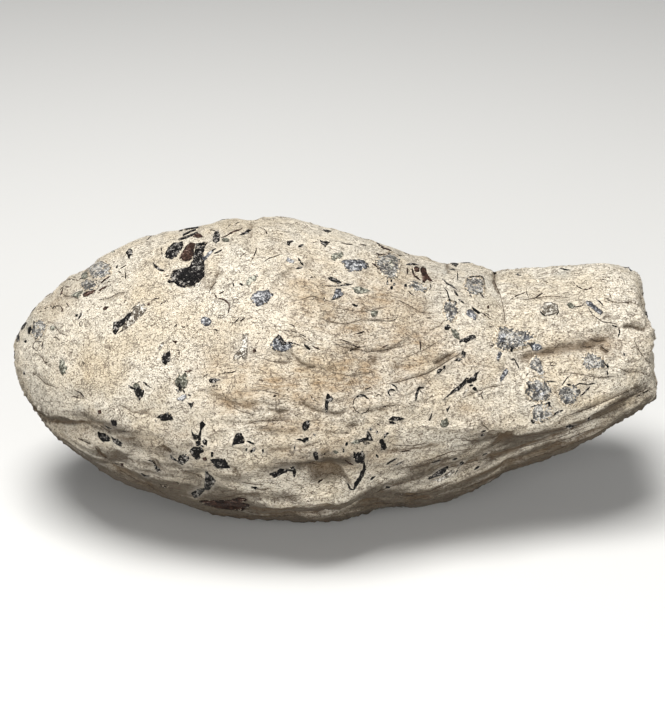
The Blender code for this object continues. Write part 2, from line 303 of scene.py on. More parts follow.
def tapered(run, ends=0.18):
    """1 along a path, easing to 0 at both ends."""
    share = np.clip(np.minimum(run, 1.0 - run) / ends, 0.0, 1.0)
    return share * share * (3.0 - 2.0 * share)


def lumps(points, size, seed, stretch=(1.0, 1.0, 1.0)):
    """Smooth noise, about -1 to 1, over points in millimetres. Stretch draws its lumps out."""
    scaled = points / (size * np.array(stretch)) + np.array((seed * 17.3, seed * 5.1, seed * 9.7))
    return np.array([noise.noise(place) for place in scaled.tolist()])


def eased(value, low, high):
    share = np.clip((value - low) / (high - low), 0.0, 1.0)
    return share * share * (3.0 - 2.0 * share)


shape = bmesh.new()
shape.from_mesh(frame["nodes"]["coprolite"].data)
bmesh.ops.remove_doubles(shape, verts=shape.verts, dist=0.001 * MM)
bmesh.ops.subdivide_edges(shape, edges=shape.edges, cuts=SKIN_CUTS, use_grid_fill=True)
for _ in range(SMOOTHING_PASSES):
    bmesh.ops.smooth_vert(
        shape, verts=shape.verts, factor=0.5, use_axis_x=True, use_axis_y=True, use_axis_z=True
    )
# The skin is cut once more along the cracks and the layer edges.
middles = np.array([face.calc_center_median() for face in shape.faces])
outwards = np.array([face.normal for face in shape.faces])
seen = np.einsum("ij,ij->i", outwards, np.array(chart_eye) - middles) > 0.0
close = np.zeros(len(middles), bool)
for _, _, path in CRACKS + LAYER_EDGES:
    offset, _ = path_offsets(chart_places(middles), path)
    close |= seen & (np.abs(offset) < FINE_REACH)
fine_edges = {edge for face, wanted in zip(shape.faces, close) if wanted for edge in face.edges}
bmesh.ops.subdivide_edges(shape, edges=list(fine_edges), cuts=1, use_grid_fill=True)
bmesh.ops.triangulate(shape, faces=[face for face in shape.faces if len(face.verts) > 4])
shape.normal_update()

points = np.array([vert.co for vert in shape.verts])
normals = np.array([vert.normal for vert in shape.verts])
places = chart_places(points)
to_eye = np.array(chart_eye) - points
facing = np.einsum("ij,ij->i", normals, to_eye) / np.linalg.norm(to_eye, axis=1)
near = eased(facing, -0.05, 0.12)

# The grain of the layers follows the stone's girth, so places on the skin are told by their turn about it.
turn = np.arctan2(points[:, 2] - axis_height(points[:, 0]), -points[:, 1])
GIRTH_RADIUS = 26.0
girth = np.stack([points[:, 0] / MM, GIRTH_RADIUS * np.cos(turn), GIRTH_RADIUS * np.sin(turn)], axis=1)
skin = points / MM
snapped = eased(skin[:, 0], 59.0, 65.0)
# Round the two ends the layers are cut across, so their grain doesn't run together in a star there.
ends = snapped + 1.0 - eased(skin[:, 0], -66.0, -56.0)
girth += ends[:, None] * (skin - girth)

height = 0.20 * lumps(skin, 4.2, 1) + 0.10 * lumps(skin, 2.1, 2) + 0.055 * lumps(skin, 1.2, 3)
folded = eased(lumps(skin, 16.0, 4), -0.35, 0.35)
wrinkles = lumps(girth + 1.5 * lumps(skin, 6.0, 5)[:, None], 1.9, 6, (6.0, 1.0, 1.0))
height += (0.06 + 0.16 * folded) * wrinkles
# Crisp little crests between the wrinkles, everywhere but on the smooth swell behind the round end.
wrinkled = eased(skin[:, 0], -38.0, -18.0) + 0.6 * eased(-normals[:, 2], 0.0, 0.5)
wrinkled += 0.9 * (1.0 - eased(skin[:, 0], -62.0, -46.0))
crests = 1.0 - np.abs(lumps(girth + 1.2 * lumps(skin, 4.0, 17)[:, None], 2.6, 18, (4.0, 1.0, 1.0))) / 0.35
height += 0.34 * wrinkled * (0.35 + 0.65 * folded) * np.clip(crests, -0.2, 1.0) ** 2
# The low side is fibrous: fine folds drawn out along the stone.
low_side = eased(-normals[:, 2], -0.45, 0.25)
fibres = lumps(girth + 0.8 * lumps(skin, 3.0, 27)[:, None], 1.5, 28, (7.0, 1.0, 1.0))
height += low_side * (0.20 * fibres + 0.22 * np.clip(1.0 - np.abs(fibres) / 0.25, 0.0, 1.0) ** 2)
layers = lumps(girth, 7.0, 7, (3.4, 1.0, 1.0)) * 3.2 + 0.35 * lumps(skin, 3.0, 8)
height += 0.30 * folded * (eased(layers - np.floor(layers), 0.72, 0.98) - (layers - np.floor(layers)))
flaw = lumps(skin, 3.2, 9)
height -= 0.35 * eased(flaw, 0.52, 0.75)

# Painted shade, with dirt: the skin is darkened in the cracks, at the foot of the layer edges, in the pits
# and in the hidden cracks.
dirt = np.zeros(len(points))
ragged = lumps(skin, 2.2, 19)
broken = lumps(skin, 5.0, 20)
for depth, half_width, path in CRACKS:
    offset, run = path_offsets(places, path)
    line = tapered(run) * near
    offset += min(half_width, 0.5) * ragged
    groove = max(half_width, 0.35)
    height -= depth * line * np.exp(-((offset / groove) ** 2))
    dirt = np.maximum(dirt, line * min(half_width / 0.3, 1.0) * np.exp(-((offset / (groove * 0.9)) ** 2)))
for rise, run_out, path in LAYER_EDGES:
    offset, run = path_offsets(places, path)
    offset += 0.6 * ragged
    line = tapered(run) * near * (0.85 + 0.6 * broken)
    upper = eased(offset, -0.25, 0.25)
    height += rise * line * (upper - 0.5) * np.exp(-np.abs(offset) / run_out)
    dirt = np.maximum(dirt, 0.35 * line * np.exp(-(((offset + 0.4) / 0.45) ** 2)))
for rise, half_width, path in RIDGES:
    offset, run = path_offsets(places, path)
    height += rise * tapered(run) * near * np.exp(-((offset / half_width) ** 2))
for x, y, radius, depth in PITS:
    away = np.hypot(places[:, 0] - x, places[:, 1] - y) * CHART_SQUARE / MM / radius
    height -= depth * near * np.exp(-(away**2))
    dirt = np.maximum(dirt, 0.6 * near * np.exp(-(away**2)))

# The snapped end is rough.
height += snapped * (0.45 * lumps(skin, 2.4, 22) + 0.25 * (0.5 - np.abs(lumps(skin, 1.7, 23))))

# The sides that the chart doesn't reach have cracks and crests of their own.
beyond = 1.0 - near
height += beyond * (0.25 * lumps(girth, 3.4, 24, (4.0, 1.0, 1.0)) + 0.15 * np.clip(crests, 0.0, 1.0) ** 2)
hidden_crack = np.abs(lumps(girth, 7.5, 25, (2.6, 1.0, 1.0)) + 0.06 * ragged)
hidden_crack = beyond * np.exp(-((hidden_crack / 0.035) ** 2)) * eased(lumps(skin, 9.0, 26), -0.1, 0.25)
height -= 0.45 * hidden_crack
dirt = np.maximum(dirt, 0.8 * hidden_crack)

rest = eased(skin[:, 2], 0.0, 1.2)  # nothing grows below the flat that the stone lies on
moved = points + normals * (height * rest * MM)[:, None]
moved[:, 2] = np.maximum(moved[:, 2], 0.0)
for vert, place in zip(shape.verts, moved.tolist()):
    vert.co = place
shape.normal_update()

stone_mesh = bpy.data.meshes.new("coprolite_stone")
shape.to_mesh(stone_mesh)
stone_skin = BVHTree.FromBMesh(shape)
shape.free()
stone_mesh.shade_smooth()
stone = bpy.data.objects.new("coprolite_stone", stone_mesh)
bpy.context.scene.collection.objects.link(stone)

# Colour patches: place in chart squares, reach across and along in millimetres, strength.
# The brown patches are stains, and partly painted shade: the small dark patches in the pits, the creases and
# under the ledges, and some of the darkening of the broad hollow.
BROWN_STAINS_AND_SHADE = (
    (240, 398, 9.0, 4.0, 1.0), (290, 388, 12.0, 6.5, 1.0), (350, 375, 14.0, 9.0, 1.0),
    (410, 345, 11.0, 10.0, 1.0),
    (400, 300, 11.0, 7.0, 0.9), (345, 322, 12.0, 8.0, 0.9), (310, 295, 8.0, 8.0, 0.8),
    (240, 368, 8.0, 7.0, 0.85), (330, 384, 12.0, 4.0, 1.0), (464, 365, 7.0, 5.0, 0.6),
    (590, 345, 7.0, 2.2, 1.0), (540, 352, 6.0, 1.8, 0.8), (290, 424, 12.0, 3.0, 1.0),
    (470, 420, 8.0, 3.0, 0.5),
    (330, 452, 16.0, 4.5, 0.7), (180, 440, 12.0, 5.0, 0.5), (90, 430, 9.0, 3.0, 0.5),
    (60, 300, 4.0, 4.0, 0.3),
    (326, 469, 3.6, 1.1, 0.9), (399, 367, 2.2, 0.9, 1.0), (369, 361, 1.4, 0.8, 1.0),
    (352, 381, 1.8, 0.9, 1.0),
    (450, 355, 2.6, 1.2, 1.0), (357, 347, 1.2, 0.9, 1.0), (409, 332, 1.0, 0.7, 1.0),
    (284, 373, 1.4, 0.8, 1.0),
    (575, 370, 14.0, 7.0, 0.12), (540, 318, 12.0, 5.0, 0.15), (628, 348, 5.0, 6.0, 0.25),
    (350, 345, 20.0, 13.0, 0.5),
    (362, 284, 1.8, 1.6, 0.9), (509, 330, 1.0, 0.8, 0.6), (462, 410, 5.0, 2.0, 0.6), (60, 421, 3.0, 0.8, 0.9),
)
OCHRE_PATCHES = (
    (84, 372, 8.0, 5.0, 0.8), (140, 300, 8.0, 6.0, 0.5), (60, 350, 5.0, 4.0, 0.4), (210, 226, 7.0, 2.5, 0.8),
    (160, 262, 6.0, 4.0, 0.4), (470, 400, 6.0, 4.0, 0.4), (560, 388, 8.0, 3.0, 0.4),
    (330, 366, 8.0, 4.0, 0.4),
    (120, 344, 6.0, 4.0, 0.4), (410, 420, 10.0, 3.0, 0.5), (322, 492, 5.0, 1.8, 0.5),
    (384, 300, 4.0, 4.0, 0.3),
    (600, 402, 9.0, 1.6, 1.0), (530, 420, 4.0, 2.0, 0.6),
)
GREY_PATCHES = (
    (446, 300, 5.0, 5.0, 0.7), (470, 290, 5.0, 4.0, 0.7), (432, 272, 4.0, 2.0, 0.6), (86, 284, 6.0, 3.0, 0.5),
    (28, 326, 3.0, 3.0, 0.7), (542, 412, 4.0, 3.0, 1.0), (232, 242, 4.0, 2.0, 0.5), (447, 374, 3.0, 2.0, 0.6),
    (568, 298, 6.0, 2.0, 0.3), (500, 440, 14.0, 2.5, 0.6), (590, 415, 9.0, 2.0, 0.6),
    (242, 350, 3.0, 3.0, 0.5),
    (516, 344, 5.0, 3.0, 0.5), (90, 460, 8.0, 3.0, 0.5), (220, 490, 9.0, 3.0, 0.4), (40, 380, 3.0, 5.0, 0.3),
    (445, 273, 1.3, 1.3, 0.9), (564, 275, 1.8, 1.2, 0.8), (235, 242, 1.4, 1.0, 0.8), (42, 330, 1.8, 1.6, 0.8),
    (76, 392, 1.6, 1.0, 0.9), (80, 408, 1.2, 0.8, 0.8), (412, 285, 1.0, 1.0, 0.8), (226, 304, 1.0, 1.6, 0.7),
    (97, 271, 3.4, 1.6, 1.0), (474, 288, 2.2, 2.2, 1.0),
)


def patches(rows):
    """How strongly a colour lies on each point of the skin, from its patches on the near side and beyond."""
    value = np.zeros(len(points))
    for x, y, across, along, strength in rows:
        gap = (places - (x, y)) * (CHART_SQUARE / MM)
        spread = (gap[:, 0] / across) ** 2 + (gap[:, 1] / along) ** 2
        value = np.maximum(value, strength * near * np.exp(-spread))
    return value


def drifts(seed, size, amount):
    """The same colour on the sides that the chart doesn't reach, in drifts along the stone."""
    return (1.0 - near) * amount * eased(lumps(girth, size, seed, (2.2, 1.0, 1.0)), -0.1, 0.6)


def paint(mesh, name, values):
    layer = mesh.attributes.new(name, "FLOAT", "POINT")
    layer.data.foreach_set("value", np.clip(values, 0.0, 1.0).astype(np.float32))


uneven = 0.75 + 0.6 * lumps(skin, 2.6, 11)
# Brown stains, with painted shade in the pits, creases and hollow.
paint(stone_mesh, "stain", (patches(BROWN_STAINS_AND_SHADE) + drifts(12, 9.0, 0.8)) * uneven)
paint(stone_mesh, "ochre", (patches(OCHRE_PATCHES) + drifts(13, 8.0, 0.6)) * uneven)
paint(stone_mesh, "greying", (patches(GREY_PATCHES) + drifts(14, 7.0, 0.6)) * uneven)
# Sunken places are painted darker still: painted shade in the hollows.
paint(stone_mesh, "dirt", dirt + 0.7 * eased(-height, 0.25, 0.7))

# The side that faces down is painted darker: painted shade, with the grey-brown of a side that wears less and
# stays dirtier than the top. The layers show on it as dark bands.
bands = lumps(girth, 1.7, 15, (9.0, 1.0, 1.0)) + 0.5 * lumps(girth, 0.8, 16, (9.0, 1.0, 1.0))
underside_shade_and_soil = eased(-normals[:, 2] + 0.30 * bands + 0.18 * fibres, 0.06, 0.60)
paint(stone_mesh, "underside", underside_shade_and_soil)
paint(stone_mesh, "banding", underside_shade_and_soil * eased(bands, -0.25, 0.35))
# The grain is drawn out along the stone, save on the round end and the top of the thick part.
paint(stone_mesh, "drawn_out", eased(places[:, 0] + 0.6 * (places[:, 1] - 360.0), 205.0, 300.0))


def linear(hex_colour):
    """An sRGB hex colour as linear RGBA."""
    values = [int(hex_colour[i : i + 2], 16) / 255 for i in (1, 3, 5)]
    return tuple(v / 12.92 if v <= 0.04045 else ((v + 0.055) / 1.055) ** 2.4 for v in values) + (1.0,)


def plug(tree, node, inputs):
    """Sets a node's inputs to values, or links them from sockets."""
    for name, value in inputs.items():
        if isinstance(value, bpy.types.NodeSocket):
            tree.links.new(value, node.inputs[name])
        else:
            node.inputs[name].default_value = value


def add_node(tree, kind, inputs, output=0, **settings):
    """Adds a node with its settings, and its inputs as values or links, and gives one of its outputs."""
    made = tree.nodes.new("ShaderNode" + kind)
    for name, value in settings.items():
        setattr(made, name, value)
    plug(tree, made, inputs)
    return made.outputs[output]


def new_material(name):
    material = bpy.data.materials.new(name)
    material.use_nodes = True
    tree = material.node_tree
    return material, tree, tree.nodes["Principled BSDF"], add_node(tree, "TexCoord", {}, "Object")


def finish_shader(tree, shader, colour, roughness, bump, depth):
    """Gives a shader its colour, its roughness and a relief of a depth in metres."""
    relief = add_node(tree, "Bump", {"Height": bump, "Distance": depth, "Strength": 1.0}, "Normal")
    plug(tree, shader, {"Base Color": colour, "Roughness": roughness, "Normal": relief})


# Weathered phosphatic limestone: matte and sandy, cream to tan, with brown grains and hair-thin traces of
# scales. Its sand is about 0.1 mm, drawn here at 0.25 mm so that it shows.
stone_finish, tree, shader, place = new_material("weathered_phosphate_stone")
long_place = add_node(tree, "Mapping", {"Vector": place, "Scale": (0.50, 1.0, 1.0)})
streak_place = add_node(tree, "Mapping", {"Vector": place, "Scale": (0.16, 1.0, 1.0)})

masks = {}
for name in ("stain", "ochre", "greying", "dirt", "underside", "banding", "drawn_out", "contact"):
    masks[name] = add_node(tree, "Attribute", {}, "Fac", attribute_name=name)

# Noises: name, place, size of the grain in millimetres, detail, roughness and distortion.
noises = {}
for name, where, size, detail, rough, bent in (
    ("round", place, 0.25, 2.0, 0.65, 0.6),
    ("long", long_place, 0.24, 2.0, 0.65, 0.8),
    ("coarse", long_place, 2.2, 3.0, 0.6, 0.5),
    ("broad", place, 9.0, 3.0, 0.5, 0.0),
    ("streaks", streak_place, 1.1, 3.0, 0.6, 0.6),
    ("specks", place, 0.42, 1.0, 0.55, 0.0),
    ("seams", streak_place, 0.45, 2.0, 0.7, 0.0),
):
    spread = {"Vector": where, "Scale": 1.0 / (size * MM), "Detail": detail, "Roughness": rough}
    noises[name] = add_node(tree, "TexNoise", {**spread, "Distortion": bent})

grain = add_node(tree, "Mix", {"Factor": masks["drawn_out"], "A": noises["round"], "B": noises["long"]})
fine_share = add_node(tree, "Math", {0: grain, 1: 0.92}, operation="MULTIPLY")
coarse_share = add_node(tree, "Math", {0: noises["coarse"], 1: 0.08}, operation="MULTIPLY")
mottle = add_node(tree, "Math", {0: fine_share, 1: coarse_share}, operation="ADD")

# Steps: name, the value that they follow, where it starts and ends, and the top that they rise to.
steps = {}
for name, value, low, high, top in (
    ("mid", mottle, 0.37, 0.47, 1.0),
    ("light", mottle, 0.48, 0.62, 1.0),
    ("yellowed", noises["broad"], 0.42, 0.62, 0.36),
    ("streaky", noises["streaks"], 0.38, 0.60, 0.5),
    ("specks", noises["specks"], 0.62, 0.70, 0.8),
    ("whole", noises["seams"], 0.37, 0.45, 1.0),
    ("dull", grain, 0.2, 0.8, 0.2),
):
    span = {"Value": value, "From Min": low, "From Max": high, "To Max": top}
    steps[name] = add_node(tree, "MapRange", span, interpolation_type="SMOOTHSTEP")

streaky = add_node(tree, "Math", {0: 0.6, 1: steps["streaky"]}, operation="ADD")
stain = add_node(tree, "Math", {0: masks["stain"], 1: streaky}, operation="MULTIPLY")

# Hair-thin traces: where a noise crosses its middle, broken up by a second one. Place, size in metres and
# how near to the middle they reach.
trace = 0.0
for where, size, reach in ((place, 3.0 * MM, 0.016), (long_place, 1.8 * MM, 0.020), (place, 1.3 * MM, 0.020)):
    spread = {"Vector": where, "Scale": 1.0 / size, "Detail": 2.0, "Roughness": 0.6, "Distortion": 0.4}
    line = add_node(tree, "Math", {0: add_node(tree, "TexNoise", spread), 1: 0.5}, operation="SUBTRACT")
    line = add_node(tree, "Math", {0: line, 1: 0.0}, operation="ABSOLUTE")
    span = {"Value": line, "From Min": 0.3 * reach, "From Max": reach, "To Max": 1.0}
    line = add_node(tree, "MapRange", span, interpolation_type="SMOOTHSTEP")
    line = add_node(tree, "Math", {0: 1.0, 1: line}, operation="SUBTRACT")
    spread = {"Vector": where, "Scale": 1.25 / size, "Detail": 1.0, "Roughness": 0.55, "Distortion": 0.0}
    span = {"Value": add_node(tree, "TexNoise", spread), "From Min": 0.44, "From Max": 0.56, "To Max": 1.0}
    gapped = add_node(tree, "MapRange", span, interpolation_type="SMOOTHSTEP")
    line = add_node(tree, "Math", {0: line, 1: gapped}, operation="MULTIPLY")
    trace = add_node(tree, "Math", {0: trace, 1: line}, operation="MAXIMUM")
# The traces grow darker, and the seams denser, on the side that faces down, which carries painted shade.
deeper = add_node(tree, "Math", {0: masks["underside"], 1: 0.4}, operation="MULTIPLY")
deeper = add_node(tree, "Math", {0: 0.62, 1: deeper}, operation="ADD")

seams = add_node(tree, "Math", {0: 1.0, 1: steps["whole"]}, operation="SUBTRACT")
lower = add_node(tree, "Math", {0: 0.25, 1: masks["underside"]}, operation="ADD")
seams = add_node(tree, "Math", {0: seams, 1: lower}, operation="MULTIPLY")

# How strongly a tint lies where its mask is full.
laid = {}
for name, mask, strength in (
    ("stain", stain, 0.85),
    ("ochre", masks["ochre"], 0.45),
    ("greying", masks["greying"], 0.6),
    ("underside", masks["underside"], 0.95),
    ("banding", masks["banding"], 0.5),
    ("trace", trace, deeper),
    ("seams", seams, 0.6),
    ("dirt", masks["dirt"], 0.72),
    ("contact", masks["contact"], 0.15),
):
    laid[name] = add_node(tree, "Math", {0: mask, 1: strength}, operation="MULTIPLY")

# Tints, each over the ones before: where it lies, its colour and how it is laid.
colour = linear("#867B6B")
for amount, over, blend in (
    (steps["mid"], "#CDC4B2", "MIX"),
    (steps["light"], "#DFD7C8", "MIX"),
    (steps["yellowed"], "#E6DAC4", "MULTIPLY"),
    # brown stains, with painted shade in the pits, creases and hollow
    (laid["stain"], "#B6A187", "MULTIPLY"),
    (laid["ochre"], "#DCC79A", "MULTIPLY"),
    (laid["greying"], "#A5A59E", "MIX"),
    # painted shade of the side that faces down, with its grey-brown soil, and its dark bands below
    (laid["underside"], "#5F564A", "MULTIPLY"),
    (laid["banding"], "#5E574B", "MIX"),
    (steps["specks"], "#4A3B2C", "MIX"),
    (laid["trace"], "#54463A", "MIX"),
    (laid["seams"], "#3F362C", "MIX"),
    # dirt and painted shade in the cracks, pits and hollows
    (laid["dirt"], "#54432F", "MIX"),
    (laid["contact"], "#E9E2D4", "MIX"),
):
    pair = {0: amount, 6: colour, 7: linear(over)}
    colour = add_node(tree, "Mix", pair, 2, data_type="RGBA", blend_type=blend)

roughness = add_node(tree, "Math", {0: 0.72, 1: steps["dull"]}, operation="ADD")
sunk = add_node(tree, "Math", {0: trace, 1: 0.35}, operation="MULTIPLY")
bump = add_node(tree, "Math", {0: mottle, 1: sunk}, operation="SUBTRACT")
ridged = add_node(tree, "Math", {0: 0.4, 1: masks["drawn_out"]}, operation="ADD")
ridged = add_node(tree, "Math", {0: noises["coarse"], 1: ridged}, operation="MULTIPLY")
bump = add_node(tree, "Math", {0: bump, 1: ridged}, operation="ADD")
finish_shader(tree, shader, colour, roughness, bump, 0.5 * MM)
shader.inputs["Specular IOR Level"].default_value = 0.3
stone_mesh.materials.clear()
stone_mesh.materials.append(stone_finish)

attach(stone, "root")
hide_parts("coprolite")

# ---------------------------------------------------------------------------------------------------------
# The black scales. Thick ganoid scales and bone plates of the fish that was eaten, turned black and glassy by
# phosphate. Broken pieces of them lie flush in the skin of the stone, held by the matrix round their rims.
# ---------------------------------------------------------------------------------------------------------

LAPPED = 1.10  # a plate is this much larger than what shows, as grains of the stone lap over its rim
PLATE_DEPTH = 0.45  # millimetres from a plate's face down to its hidden underside
PLATE_CROWN = 0.10  # millimetres that the middle of a plate stands over its rim
SPLINTER_DEPTH = 0.25
CHIP_SPACING = 1.1  # chart squares between the points of a plate's rim
CHIP = 0.20  # chart squares by which those points are knocked in or out

